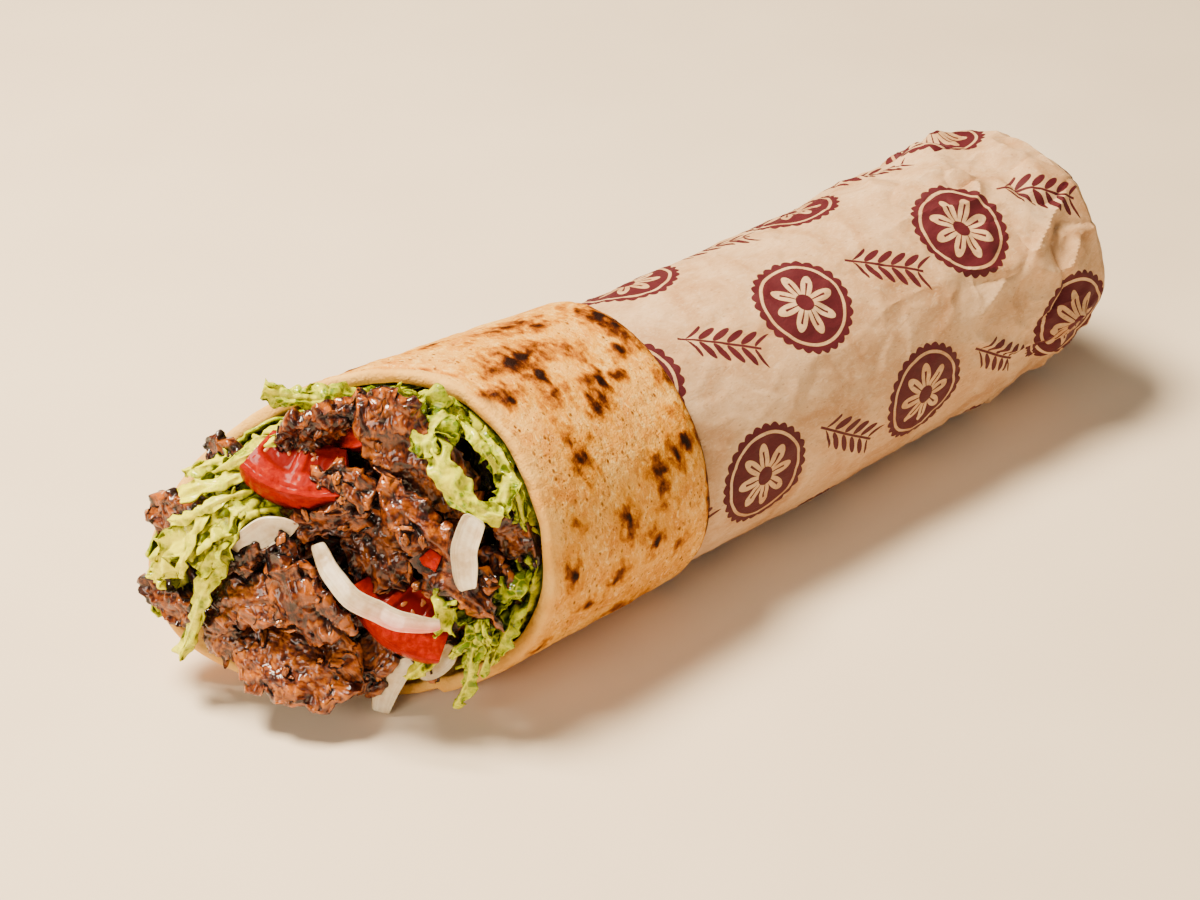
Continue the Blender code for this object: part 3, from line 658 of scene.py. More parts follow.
def tomato_material():
    """Wet tomato: glossy skin, lighter streaked flesh, and dark clear jelly in the pockets."""
    paint = Paint(
        "tomato", 0.3, Specular_IOR_Level=0.02, Coat_Weight=0.05, Coat_Roughness=0.02,
        Subsurface_Weight=0.2, Subsurface_Radius=(1.0, 0.15, 0.05), Subsurface_Scale=1.2 * MM,
    )
    skin = paint.trait("skin")
    streaks = paint.noise(1.3 * MM, 3.0, 0.6, 0.5)
    flesh = paint.ramp(
        streaks, (0.3, 0.20, 0.003, 0.0004), (0.55, 0.30, 0.007, 0.0004), (0.75, 0.44, 0.024, 0.001)
    )
    peel = paint.ramp(streaks, (0.35, 0.24, 0.004, 0.0004), (0.7, 0.35, 0.009, 0.0004))
    colour = paint.mix(skin, flesh, peel)
    colour = paint.mix(paint.trait("jelly"), colour, (0.16, 0.003, 0.001))
    # Painted shade: darker where other pieces crowd round the tomato.
    closed = paint.between(paint.trait("closed"), 0.12, 0.5)
    colour = paint.mix(closed * 0.9, colour, (0.05, 0.001, 0.001))
    return paint.done(colour, skin * -0.25 + streaks * 0.3 + 0.2, paint.bump(streaks, 0.12 * MM, 0.4))


def seed_material():
    paint = Paint("tomato_seed", 0.3, Subsurface_Weight=0.2, Subsurface_Scale=0.6 * MM)
    tint = paint.noise(0.8 * MM, 1.0)
    return paint.done(paint.ramp(tint, (0.3, 0.42, 0.07, 0.010), (0.7, 0.55, 0.18, 0.04)))


def onion_material():
    """Translucent white onion with fine lines along its layers and a faint pink edge."""
    paint = Paint(
        "onion", 0.22, Specular_IOR_Level=0.4, Coat_Weight=0.6, Coat_Roughness=0.05,
        Subsurface_Weight=0.3, Subsurface_Radius=(1.0, 0.8, 0.55), Subsurface_Scale=1.8 * MM,
    )
    across = paint.trait("across")
    cloud = paint.noise(3 * MM, 3.0, 0.6)
    lines = paint.math("SINE", across * 26.0) * 0.5 + 0.5
    colour = paint.ramp(
        cloud, (0.3, 0.66, 0.47, 0.26), (0.5, 0.82, 0.65, 0.42), (0.7, 0.93, 0.80, 0.58)
    )
    colour = paint.mix(lines * 0.18, colour, (0.46, 0.29, 0.13))
    # Painted highlight: the band is lighter along both of its edges.
    rim = paint.between(abs(across), 0.75, 0.98)
    colour = paint.mix(rim * 0.85, colour, (0.90, 0.76, 0.54))
    colour = paint.mix(paint.trait("blush") * 0.85, colour, (0.62, 0.13, 0.09))
    # Painted shade: darker where other pieces crowd round the onion.
    closed = paint.between(paint.trait("closed"), 0.3, 0.9)
    colour = paint.mix(closed * 0.7, colour, (0.12, 0.05, 0.015))
    normal = paint.bump(cloud, 0.3 * MM, 0.4, paint.bump(lines, 0.1 * MM, 0.3))
    return paint.done(colour, cloud * 0.25 + 0.1, normal)


def floor_material():
    paint = Paint("floor", 0.75)
    cloud = paint.noise(60 * MM, 2.0)
    return paint.done(paint.ramp(cloud, (0.3, 0.80, 0.65, 0.47), (0.7, 0.84, 0.69, 0.50)))


# --- Bread


# Charred spots: place along the wrap and angle in degrees, then the size along and round it in
# millimetres, and how dark they are
CHAR_SPOTS = [
    (-21.6, 5, 3.2, 7.5, 1.15),
    (-24.5, -4, 2.6, 6.0, 0.8),
    (-41.1, -15, 8.0, 2.6, 0.75),
    (-35.1, -8, 4.0, 2.6, 0.7),
    (-48.2, 7, 6.5, 4.5, 0.95),
    (-53.5, 10, 5.0, 4.0, 0.45),
    (-48.1, 18, 3.4, 2.6, 1.05),
    (-47.8, 27, 2.8, 2.4, 0.8),
    (-25.7, 20, 2.6, 3.2, 0.7),
    (-30.8, 28, 2.4, 1.6, 0.85),
    (-35.7, 29, 2.8, 3.0, 0.95),
    (-40.0, 34, 3.0, 4.2, 0.8),
    (-58.9, 21, 4.6, 2.6, 0.95),
    (-50.1, 50, 2.6, 3.6, 1.05),
    (-51.0, 43, 3.0, 4.6, 0.4),
    (-22.9, 61, 2.0, 3.2, 0.95),
    (-27.2, 64, 2.0, 3.2, 0.8),
    (-32.2, 66, 2.6, 3.0, 1.0),
    (-32.1, 72, 2.4, 4.0, 0.7),
    (-42.9, 80, 2.2, 3.6, 0.85),
    (-36.0, 92, 2.6, 3.0, 0.75),
    (-28.0, 100, 3.0, 2.6, 0.6),
    (-59.0, 89, 1.6, 3.6, 0.8),
    (-45.5, 100, 2.6, 2.2, 0.7),
    (-53.7, 107, 3.4, 2.0, 0.7),
    (-57.1, -24, 5.0, 2.2, 0.55),
    (-36.2, 13, 5.0, 5.5, 0.38),
    (-56.2, 71, 1.6, 2.6, 0.6),
    (-20.3, 35, 1.8, 3.6, 0.6),
    (-22.9, 52, 4.0, 5.0, 0.35),
    (-66.0, 120, 5.0, 3.0, 0.5),
    (-40.0, 125, 6.0, 4.0, 0.6),
    (-72.0, -40, 6.0, 3.5, 0.6),
    (-50.0, -50, 5.0, 5.0, 0.8),
    (-30.0, -60, 4.0, 6.0, 0.9),
    (-62.0, -75, 6.0, 4.0, 0.7),
    (-80.0, -90, 5.0, 3.5, 0.6),
    (-40.0, -95, 5.0, 4.5, 0.9),
    (-25.0, -115, 4.0, 5.0, 0.7),
    (-58.0, -125, 6.0, 4.0, 0.8),
    (-90.0, -130, 4.5, 3.0, 0.5),
]
BREAD_SIDES = 400
SEAM_MARGIN = math.radians(0.6)  # on each side of the roll's seam
EDGE_DARK_REACH = 3.4 * MM  # reach of the darker line along the paper


def char_at(x, angle, points):
    """How browned the bread is: blurred ovals with ragged edges, and darker in a line along the
    paper's edge.
    """
    heat = np.zeros(x.shape)
    drawn = points * (1, 0.5, 0.5)
    ragged = layered(0.95, drawn, (0.55, 1.8 * MM, 5), (0.25, 0.8 * MM, 6))
    patchy = layered(0.75, drawn, (0.75, 2.2 * MM, 7), (0.35, 1.0 * MM, 8))
    x = x + layered(0.0, points, (1.6, 6 * MM, 15), (0.7, 2 * MM, 16)) * MM
    angle = angle + layered(0.0, points, (1.6, 6 * MM, 17), (0.6, 2 * MM, 18)) * MM / BREAD_RADIUS
    for spot_x, spot_angle, wide, tall, dark in CHAR_SPOTS:
        turn = (angle - math.radians(spot_angle) + math.pi) % TURN - math.pi
        away = np.hypot((x - spot_x * MM) / (wide * MM), turn * BREAD_RADIUS / (tall * MM))
        core = np.exp(-((away / 0.8) ** 2)) * dark * ragged
        halo = np.exp(-((away / 1.65) ** 2)) * 0.62 * min(1.0, dark) * patchy
        heat = np.maximum(heat, np.maximum(core, halo))
    # Darker in a line where the bread dips under the paper.
    return np.maximum(heat, 0.85 * smooth((x - (PAPER_FRONT - EDGE_DARK_REACH)) / (3.2 * MM)))


def bread_outside(x, angle):
    """Points of the bread's outside, and how browned they are."""
    bare = 1 - tucked(x)
    share = ((angle - ROLL_SEAM) % TURN) / TURN
    dough = 0.35 * MM * soft_noise(round_spots(x, angle, 45, 1.6))
    radius = bread_radius(x) + bare * (ROLL_STEP * share + dough)
    points = on_section(x, angle, radius, bread_floor(x))
    heat = char_at(x, angle, points)
    blister = 0.45 * MM * np.minimum(heat, 1.0) * (0.6 + 0.8 * pebbles(points, 4 * MM, 2))
    blister = layered(blister, points, (0.35 * MM, 9 * MM, 8), (0.13 * MM, 2.4 * MM, 9))
    behind_lip = layered((x - rim_x(angle)) / MM, points, (0.8, 9 * MM, 13))
    groove = np.exp(-(((behind_lip - 4.6) / 0.9) ** 2)) * hump(angle, -30, 70)
    radius = radius + bare * (blister - 1.0 * MM * groove)
    # Painted shade: the groove is browned a little, so that it shows as a dark fold line.
    heat = np.maximum(heat, groove * layered(0.25, points, (0.25, 4 * MM, 14)))
    return on_section(x, angle, radius, bread_floor(x)), heat


def make_bread():
    turned = (TURN - 2 * SEAM_MARGIN) * np.arange(BREAD_SIDES) / (BREAD_SIDES - 1)
    angle = (ROLL_SEAM + SEAM_MARGIN + turned)[None, :]
    bulge = PAPER_FRONT - GAP - TUCK
    lip = rim_x(angle) + BREAD_WALL / 2
    end = TAIL - PAPER_WALL - GAP
    rows, heats, pales = [], [], []

    def add(points, heat=0.0, pale=0.0):
        rows.append(points)
        heats.append(np.broadcast_to(heat, points.shape[:2]))
        pales.append(np.broadcast_to(pale, points.shape[:2]))

    inside = np.array([end - BREAD_WALL - TAIL_ROUNDING, 60 * MM, 20 * MM, -10 * MM])[:, None]
    add(in_cavity(inside, angle, 0.0), 0.0, 0.8)
    x = blend(bulge, lip, smooth(np.linspace(0, 1, 30))[:, None])
    wall = in_cavity(x, angle, 0.0)
    wall = in_cavity(x, angle, 0.25 * MM * lumps(wall, 5 * MM, 3))
    add(wall, 0.15 * pebbles(wall, 6 * MM, 4), 0.85)
    inner = wall[-1:]
    outer, heat = bread_outside(lip, angle)
    for swing in np.radians(np.linspace(15, 165, 9)):
        nose = layered(BREAD_WALL / 2, inner, (0.3 * MM, 7 * MM, 11)) * math.sin(swing)
        across = (1 - math.cos(swing)) / 2
        add(blend(inner, outer, across) - stacked(nose, 0, 0), heat * across, 0.95)
    x = blend(lip, bulge, np.linspace(0, 1, 110)[:, None])
    points, heat = bread_outside(x, angle)
    pale = 0.95 * (1 - smooth(layered((x - lip) / MM, points, (2.5, 5 * MM, 12)) / 3.4))
    add(points, heat, pale * (1 - np.minimum(1, heat)))
    for steps, browned in (
        (bulge + TUCK * np.sin(np.linspace(0.1, math.pi / 2, 12)), True),
        (np.array([20, 60, 100]) * MM, False),
        (np.array([end - TAIL_ROUNDING]), False),
    ):
        x = np.broadcast_to(steps[:, None], (len(steps), BREAD_SIDES))
        points, heat = bread_outside(x, angle)
        add(points, heat if browned else 0.0)

    bunch = Bunch("char", "pale")
    bunch.add_tube(np.concatenate(rows), char=np.concatenate(heats), pale=np.concatenate(pales))
    return bunch.make("bread_roll", bread_material(), sharp=50)


# --- Paper

PAPER_SIDES = 330
PAPER_ROWS = 250
FOLDS = 7  # families of folds in a crease pattern
PLEATS = 9


def creased(points, size, salt):
    """Flat facets between straight folds, as crumpled paper has, up to about 1 each way from 0."""
    chance = random.Random(salt)
    total = np.zeros(points.shape[:-1])
    warp = np.stack([lumps(points, 1.7 * size, salt + k) for k in range(3)], -1)
    warped = points + 0.35 * size * warp
    for k in range(FOLDS):
        way = Vector([chance.uniform(-1, 1) for _ in range(3)]).normalized()
        phase = chance.random()
        stripe = warped @ np.array(way) / (size * chance.uniform(0.8, 1.6)) + phase
        fold = np.abs((stripe % 1.0) - 0.5) * 2
        here = smooth(layered(0.5, points, (1.6, 1.9 * size, salt + 10 + k)))
        total = total + (fold - 0.5) * here
    return total / math.sqrt(FOLDS)


def paper_outside(x, angle):
    """The sleeve's outside: faint creases in front, and crumpled folds towards the tail."""
    depth = 0.15 + 0.75 * smooth((x - 50 * MM) / (60 * MM))
    crumple = depth * MM * (np.abs(soft_noise(round_spots(x, angle, 60, 2.2))) * 1.6 - 0.4)
    flat = on_section(x, angle, paper_radius(x), 0.0)
    tail = smooth((x - 55 * MM) / (50 * MM))
    large, small = creased(flat, 21 * MM, 21), creased(flat, 8.5 * MM, 41)
    shift = (0.5 + 2.8 * tail) * large + (0.25 + 0.9 * tail) * small
    drawn = flat * (0.6, 1, 1)
    folds = (0.4 + 1.6 * tail) * (1 - pebbles(drawn, 16 * MM, 61)) ** 3
    folds = folds - (0.3 + 1.1 * tail) * (1 - pebbles(drawn, 11 * MM, 62)) ** 3
    folds = folds + (0.2 + 0.25 * tail) * (1 - pebbles(drawn, 5 * MM, 63)) ** 2
    shift = np.maximum(shift + folds + 0.5 * tail, -0.7)
    shift = shift * (1 - 0.7 * smooth((x - (TAIL - TAIL_ROUNDING - 12 * MM)) / (12 * MM)))
    radius = paper_radius(x) + crumple + shift * MM * smooth((x - PAPER_FRONT) / (6 * MM) + 0.25)
    return on_section(x, angle, radius, 0.0)


def inward(points, scale):
    """Towards the wrap's axis."""
    middle = centre_height(points[..., 0])
    return stacked(points[..., 0], points[..., 1] * scale, middle + (points[..., 2] - middle) * scale)


def make_paper():
    angle = (ROLL_SEAM + TURN * np.arange(PAPER_SIDES) / PAPER_SIDES)[None, :]
    straight = TAIL - TAIL_ROUNDING
    inside = np.broadcast_to(np.array([straight, 60 * MM, 0.0])[:, None], (3, PAPER_SIDES))
    lining = on_section(inside, angle, paper_radius(inside) - PAPER_WALL, PAPER_WALL)
    front = layered(PAPER_FRONT, round_spots(0.0 * angle, angle, 1, 1), (0.5 * MM, 0.8, 7))
    outside = paper_outside(blend(front, straight, np.linspace(0, 1, PAPER_ROWS)[:, None]), angle)
    edge = inward(outside[:1], 1 - PAPER_EDGE / PAPER_RADIUS)
    bunch = Bunch()
    bunch.add_tube(np.concatenate([lining, edge, outside, folded_end(angle, straight)]))
    piece = bunch.make("paper_wrap", paper_material(), sharp=24)
    set_print_map(piece.data)
    return piece


def folded_end(angle, straight):
    """The paper gathered over the tail: creased pleats that swirl in to a tucked middle."""
    rows = []
    edge = paper_outside(np.full(angle.shape, straight), angle)
    for share in np.linspace(0.02, 1, 46):
        round_over = math.sin(min(1.0, share / 0.16) * math.pi / 2)
        scale = 1 - 0.08 * round_over - 0.9 * smooth((share - 0.1) / 0.9)
        swirl = angle + 1.1 * share
        pleat = np.abs(((swirl * PLEATS / TURN + 0.18 * np.sin(2 * swirl)) % 1.0) - 0.5) * 2 - 0.5
        pleat = 1.6 * math.sin(math.pi * min(1.0, share * 1.05)) * pleat
        depth = (pleat - 2.4 * smooth((share - 0.35) / 0.65)) * MM
        flat = inward(edge, max(scale, 0.02)) + stacked(TAIL_ROUNDING * round_over, 0, 0)
        crumple = 1.1 * creased(flat, 14 * MM, 81) + 0.6 * creased(flat, 6 * MM, 82)
        rows.append(flat + stacked(depth + MM * crumple * round_over, 0, 0))
    return np.concatenate(rows)


def set_print_map(mesh):
    """A flat map of the paper in millimetres, along and round the wrap, for its print."""
    corners = np.empty(len(mesh.loops), np.int32)
    mesh.loops.foreach_get("vertex_index", corners)
    x, y, z = read_vectors(mesh.vertices, "co").T
    z = z - centre_height(x)
    angle = np.arctan2(-y, z) % TURN
    # Past the tail's edge the paper runs on towards the middle.
    past = np.maximum(0.0, TAIL_RADIUS - np.hypot(y, z)) / MM
    along = x / MM + np.where(x > TAIL - TAIL_ROUNDING, past, 0.0)
    spots = np.stack([along, angle * PAPER_RADIUS / MM], axis=-1)[corners]
    # A face that spans the start of the turn keeps its corners together.
    sizes = np.empty(len(mesh.polygons), np.int32)
    mesh.polygons.foreach_get("loop_total", sizes)
    starts = np.concatenate([[0], np.cumsum(sizes)[:-1]])
    highest = np.repeat(np.maximum.reduceat(spots[:, 1], starts), sizes)
    girth = TURN * PAPER_RADIUS / MM
    spots[:, 1] += np.where(highest - spots[:, 1] > girth / 2, girth, 0.0)
    mesh.uv_layers.new(name="print").data.foreach_set("uv", spots.astype(np.float32).ravel())


# --- Meat

# Slices: place (u, v, w), turn, lean, pitch, then length, width, thickness and curl in millimetres
MEAT_SLICES = [
    (-7, 30, 7, 34, -25, 0, 25, 9, 2.4, 2.0),
    (12, 27, 7, -54, 4, 10, 30, 17, 2.6, 2.5),
    (20, 7, 11, -48, 16, 0, 42, 9, 2.4, 3.5),
    (0, 19, 12, -20, 14, 0, 15, 8, 2.6, 1.5),
    (-4, 11, 11, 18, -12, 0, 19, 9, 2.6, 2.0),
    (6, 3, 7, -62, 0, 0, 19, 13, 2.6, 1.5),
    (-19, 1, 10, 30, -28, 0, 21, 8, 2.4, 2.5),
    (-20, -10, 11, 12, 24, -14, 21, 12, 2.6, 2.5),
    (-8, -7, 14, -58, -6, 6, 24, 11, 2.4, 2.5),
    (-5, -3, 14, -50, -34, 0, 27, 6, 2.2, 2.0),
    (-10, -23, 10, -14, 27, 0, 28, 20, 2.8, 3.0),
    (-23, -20, 4, 35, 20, -15, 18, 9, 2.6, 1.5),
    (5, -24, 1, 70, 10, 15, 17, 10, 2.6, 1.5),
    (35, 9, 1, -72, 0, 10, 18, 9, 2.6, 1.5),
    (31, -2, 3, -60, 0, 0, 17, 10, 2.6, 1.5),
    (24, 0, 9, 12, 14, 0, 17, 9, 2.6, 2.0),
    (19, 18, 1, -45, 0, 0, 22, 13, 2.8, 1.5),
    (-14, 14, 0, 30, 0, 0, 22, 13, 2.8, 1.5),
    (-28, -4, 2, 70, 0, -10, 24, 13, 2.8, 1.5),
    (-36, 4, 6, 8, 0, -20, 22, 13, 3.0, 1.5),
    (-40, -14, 8, -10, 0, -20, 19, 8, 2.6, 1.5),
    (-27, 18, 4, -14, 0, -15, 16, 8, 2.6, 1.5),
    (-28, -21, 6, 60, 0, -15, 16, 10, 2.6, 1.5),
]
CHARRED = (19, 20, 21)  # slices with burnt tips
SMOOTH = (1, 2, 8, 15)  # slices with a flatter face
SMOOTH_RELIEF = 0.5
MEAT_STEP = 0.34  # between a slice's points, in millimetres
BIT_CLEARING = 4.0  # round the bit of tomato, in millimetres
FIRST_LOWER = 10  # the first slice of the lower piece
SMALL_SLICES = 9
SCRAPS = 100
LARGE_SCRAPS = 51
CORE_SIDES = 260


def scattered_slices(count, seed):
    """Small slices that cover the rest of the heap's face."""
    chance = random.Random(seed)
    slices = []
    for _ in range(count):
        away, bearing = 30 * math.sqrt(chance.random()), chance.uniform(0, TURN)
        u, v = away * math.cos(bearing), away * 0.8 * math.sin(bearing)
        w = 3 * math.cos(away / 34 * math.pi / 2)
        turn, lean = chance.uniform(-90, 90), chance.uniform(-35, 35)
        slices.append((u, v, w, turn, lean, 0, chance.uniform(8, 15), chance.uniform(4, 9), 2.4, 1.5))
    return slices


def roasted(own, seed):
    """Relief of roasted meat from 0 to 1: strands along X, nodules on them and creases between."""
    bend = np.stack([lumps(own, 3.0, seed + k) for k in range(3)], -1)
    spots = own + 0.8 * bend
    clumps = pebbles(spots * (0.7, 1, 1), 3.4, seed + 3)
    strands = pebbles(spots * (0.4, 1, 1), 1.2, seed + 4)
    nodules = pebbles(spots * (0.9, 1, 1), 1.2, seed + 5)
    return 0.24 * clumps + 0.30 * strands + 0.46 * nodules


def sunk_round_bit(points):
    """The meat dips round the small bit of tomato, so that it shows."""
    away = points - np.array(MOUTH_CENTRE)
    u, v, w = (away @ np.array(axis) / MM for axis in (MOUTH_RIGHT, MOUTH_UP, MOUTH_NORMAL))
    bit_u, bit_v, bit_w = TOMATOES["tomato_bit"][1][:3]
    near = smooth(1.6 - np.hypot(u - bit_u, v - bit_v) / BIT_CLEARING)
    drop = near * np.maximum(0.0, w - bit_w + 1.5)
    return points - np.array(MOUTH_NORMAL) * (drop * MM)[..., None]


def meat_slice(bunch, seed, place, length, width, thick, curl, tone, charred):
    """A shaved slice: the solid's bent slab with torn, beaded edges and strands of muscle."""
    rows, columns = int(length / MEAT_STEP) + 2, int(width / MEAT_STEP) + 2
    a, b = crossed(np.linspace(-1, 1, rows), np.linspace(-1, 1, columns))
    offset = np.array((7.31, 3.17, 1.73)) * seed
    spot = offset + stacked(a * 2.1, b * 1.7, 0)
    wander = [1.5 * soft_noise(spot + (0, 0, shift)) for shift in (0, 20)]
    narrow = np.sqrt(np.maximum(0.0, 1 - np.abs(a) ** 3)) * 0.75 + 0.25
    x = a * length / 2 * (1 - 0.12 * b * b) + wander[0]
    flat = stacked(x, b * width / 2 * narrow + wander[1], 0.0)
    own = flat + offset * 40
    rim = np.maximum(np.abs(a), np.abs(b))
    torn = smooth((rim - 0.4) / 0.6)
    tear = 0.0
    for size, far in ((4.2, 1.6), (1.9, 1.0), (1.1, 0.5)):
        salt = seed + int(10 * size)
        tear = tear + far * stacked(lumps(own, size, salt), lumps(own, size, salt + 1), 0)
    flat = flat + tear * torn[..., None]
    bow = curl * (1 - a * a) - curl * 0.5 * b * b
    bow = bow + 1.3 * soft_noise(offset + stacked(a * 2.6, b * 2.2, 5.0))
    bow = layered(bow, own, (1.3, 7.5, seed + 5), (1.3 * torn, 3.4, seed + 6))
    round_off = np.sqrt(np.maximum(0.0, 1 - rim**6))
    half = thick / 2 * (0.15 + 0.85 * round_off) * layered(0.8, own, (0.4, 4.5, seed + 7))
    chance = random.Random(seed)
    grain, rough = math.radians(chance.uniform(-35, 35)), chance.uniform(0.7, 1.05)
    rough = SMOOTH_RELIEF if seed in SMOOTH else rough
    turned = own @ np.array(Matrix.Rotation(grain, 3, "Z"))
    reliefs = roasted(turned, seed + 8), roasted(turned + 9, seed + 11)
    depth, depth_back = ((rough * relief - 0.5) * (0.4 + 0.6 * round_off) for relief in reliefs)
    beads = 0.9 * smooth((rim - 0.55) / 0.25) * pebbles(own, 1.9, seed + 15)
    front = flat + stacked(0, 0, bow + half + (depth + beads * round_off))
    back = flat + stacked(0, 0, bow - half - depth_back)
    points = moved(np.stack([front, back]) * MM, mouth_placement(*place))
    burnt = 0.35 * torn * smooth(layered(0.3, own, (1, 5.0, seed + 12)))
    if charred:
        tips = smooth(layered(0.45, own, (1, 3.0, seed + 13)))
        burnt = burnt + 1.1 * smooth((rim - 0.45) / 0.5) * tips
    traits = {"tone": tone, "rim": torn, "char": burnt, "run": turned[..., 0], "over": turned[..., 1]}
    # The relief's creases become the trait that the material paints dark as shade.
    bunch.add_slab(kept_in(sunk_round_bit(points)), hollow=1 - np.stack(reliefs), **traits)


def make_meat(material):
    chance = random.Random(3)
    slices = list(enumerate(MEAT_SLICES + scattered_slices(SMALL_SLICES, 11)))
    pieces = []
    for name, chosen in (("upper", slices[:FIRST_LOWER]), ("lower", slices[FIRST_LOWER:])):
        bunch = Bunch(*MEAT_TRAITS)
        for seed, (*place, length, width, thick, curl) in chosen:
            tone = chance.uniform(-1, 1)
            meat_slice(bunch, seed, place, length, width, thick, curl, tone, seed in CHARRED)
        pieces.append(bunch.make("meat_slices_" + name, material))
    return pieces


def filling_x(angle, start, share):
    slanted = smooth(share * 1.3 - 0.3)
    return blend(start, RIM_X, share) + (rim_x(angle) + 1.5 * MM - RIM_X) * slanted


def make_meat_core(material):
    """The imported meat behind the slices: a lumpy plug that domes out of the mouth."""
    angle = (TURN * np.arange(CORE_SIDES) / CORE_SIDES)[None, :]
    start = TAIL - TAIL_ROUNDING - 8 * MM
    rows = []
    for share in (0.0, 0.3, 0.55, *np.linspace(0.7, 1.0, 14)):
        inset = FILLING_GAP + (2 * MM if share > 0.6 else 0.0)
        rows.append(in_cavity(filling_x(angle, start, share), angle, inset))
    edge = rows[-1]
    middle = edge.mean(axis=1, keepdims=True)
    out = np.array(MOUTH_NORMAL)
    for swing in np.radians(np.linspace(2, 88, 64)):
        rows.append(blend(middle, edge, math.cos(swing)) + out * HEAP_RISE * math.sin(swing))
    grid = np.concatenate(rows)
    domed = smooth((np.arange(len(grid)) - 12) / 6)[:, None]
    large = pebbles(grid, 7 * MM, 90)
    relief = roasted(grid / MM, 93)
    depth = 4.0 * large + 1.6 * relief - 8.0
    grid = kept_in(grid + out * (depth * MM * domed)[..., None])
    # Painted shade: the core shows only through gaps between the slices, so it gets the darkest tone
    # and a high crease value all over.
    hollow = 1.1 - 0.4 * relief - 0.3 * large
    bunch = Bunch(*MEAT_TRAITS)
    x, y, z = np.moveaxis(grid, -1, 0)
    bunch.add_tube(grid, hollow=hollow, run=z / MM, over=(x + y) / MM, tone=-1.0)
    return bunch.make("meat_core", material)


def make_scraps(material, pieces):
    """Torn scraps and crumbs of meat that lie in the gaps of the filling."""
    tree = Tree(pieces)
    chance = random.Random(29)
    bunch = Bunch(*MEAT_TRAITS)
    far = MOUTH_NORMAL * 60 * MM
    for k in range(SCRAPS):
        large = k < LARGE_SCRAPS
        away, bearing = 33 * math.sqrt(chance.random()), chance.uniform(0, TURN)
        start = in_mouth(away * math.cos(bearing), away * 0.9 * math.sin(bearing), 0) + far
        spot, normal, index, _ = tree.ray_cast(start, -MOUTH_NORMAL)
        size = chance.uniform(1.5, 2.8) if large else chance.uniform(0.5, 1.3)
        if spot and tree.owners[index].startswith("meat_core" if large else "meat_"):
            crumb(bunch, spot - normal * size * 0.2 * MM, size, chance, 300 + 7 * k)
    return bunch.make("meat_scraps", material)


def crumb(bunch, spot, size, chance, seed):
    """A lumpy morsel of the given half size in millimetres."""
    rows = 9 + int(size * 5)
    ball = ball_grid(rows, rows * 2)
    own = ball * size + seed
    bumps = 1 + 0.6 * lumps(own, 1.3 * size, seed) + 0.5 * pebbles(own, 0.7 * size + 0.3, seed + 1)
    shape = ball * bumps[..., None] * (size * chance.uniform(1.0, 1.7), size * 0.8, size * 0.55)
    turn = Euler([chance.uniform(0, TURN) for _ in range(3)]).to_matrix().to_4x4()
    matrix = Matrix.Translation(spot) @ turn
    burnt = chance.choice((0.0, 0.1, 0.5))
    # Painted shade in the creases between the crumb's bumps.
    traits = {"run": own[..., 0], "over": own[..., 1], "hollow": smooth(1.3 - bumps)}
    traits.update({"tone": chance.uniform(-1, 1), "rim": 0.5, "char": burnt})
    bunch.add_tube(shape, lambda points: kept_in(moved(points * MM, matrix)), **traits)


def ball_grid(rows, columns):
    """Points of a unit ball with its poles along X, without the poles."""
    level = (math.pi * (np.arange(rows) + 0.5) / rows)[:, None]
    swing = (TURN * np.arange(columns) / columns)[None, :]
    return stacked(np.cos(level), np.sin(level) * np.cos(swing), np.sin(level) * np.sin(swing))


class Tree:
    """Ray casts at several pieces together."""

    def __init__(self, pieces):
        points, faces, self.owners = [], [], []
        for piece in pieces:
            start = len(points)
            points += [vertex.co.copy() for vertex in piece.data.vertices]
            faces += [[corner + start for corner in face.vertices] for face in piece.data.polygons]
            self.owners += [piece.name] * len(piece.data.polygons)
        self.ray_cast = BVHTree.FromPolygons(points, faces).ray_cast


CLOSED_REACH = 9 * MM
CLOSED_RAYS = 11


def bake_crowded_shade(pieces, around):
    """Sets the trait "closed": 0 in the open, towards 1 where other pieces crowd round a point. The
    materials darken by it, as painted shade between the pieces.
    """
    ray_cast = Tree(around).ray_cast
    share = (np.arange(CLOSED_RAYS) + 0.5) / CLOSED_RAYS
    swing = np.arange(CLOSED_RAYS) * math.pi * (3 - math.sqrt(5))
    fan = stacked(np.sqrt(share) * np.cos(swing), np.sqrt(share) * np.sin(swing), np.sqrt(1 - share))
    for piece in pieces:
        mesh = piece.data
        points, normals = read_vectors(mesh.vertices, "co"), read_vectors(mesh.vertices, "normal")
        helper = np.where(np.abs(normals[:, :1]) < 0.7, (1.0, 0, 0), (0, 1.0, 0))
        side = np.cross(normals, helper)
        side /= np.maximum(np.linalg.norm(side, axis=1, keepdims=True), 1e-9)
        up = np.cross(normals, side)
        starts = [Vector(point) for point in points + normals * 0.2 * MM]
        closed = np.zeros(len(points))
        for ray in fan:
            for i, way in enumerate(side * ray[0] + up * ray[1] + normals * ray[2]):
                distance = ray_cast(starts[i], Vector(way), CLOSED_REACH)[3]
                if distance is not None:
                    closed[i] += 1 - distance / CLOSED_REACH
        mesh.attributes["closed"].data.foreach_set("value", (closed / CLOSED_RAYS).astype(np.float32))


# --- Lettuce

LEAF_FACE = (MOUTH_NORMAL + Vector((0.0, 0.1, 0.55))).normalized()  # where the shreds' faces look
LEAF_DEPTHS = (0.2, 1.6, 3.0)  # of the sheets of leaf, in millimetres inside the bread
LEAF_ROWS = 44
LEAF_COLUMNS = 130
LEAF_REACH = 26 * MM  # of the sheets, back from the rim
SHRED_STEP = 0.4  # between a shred's points, in millimetres
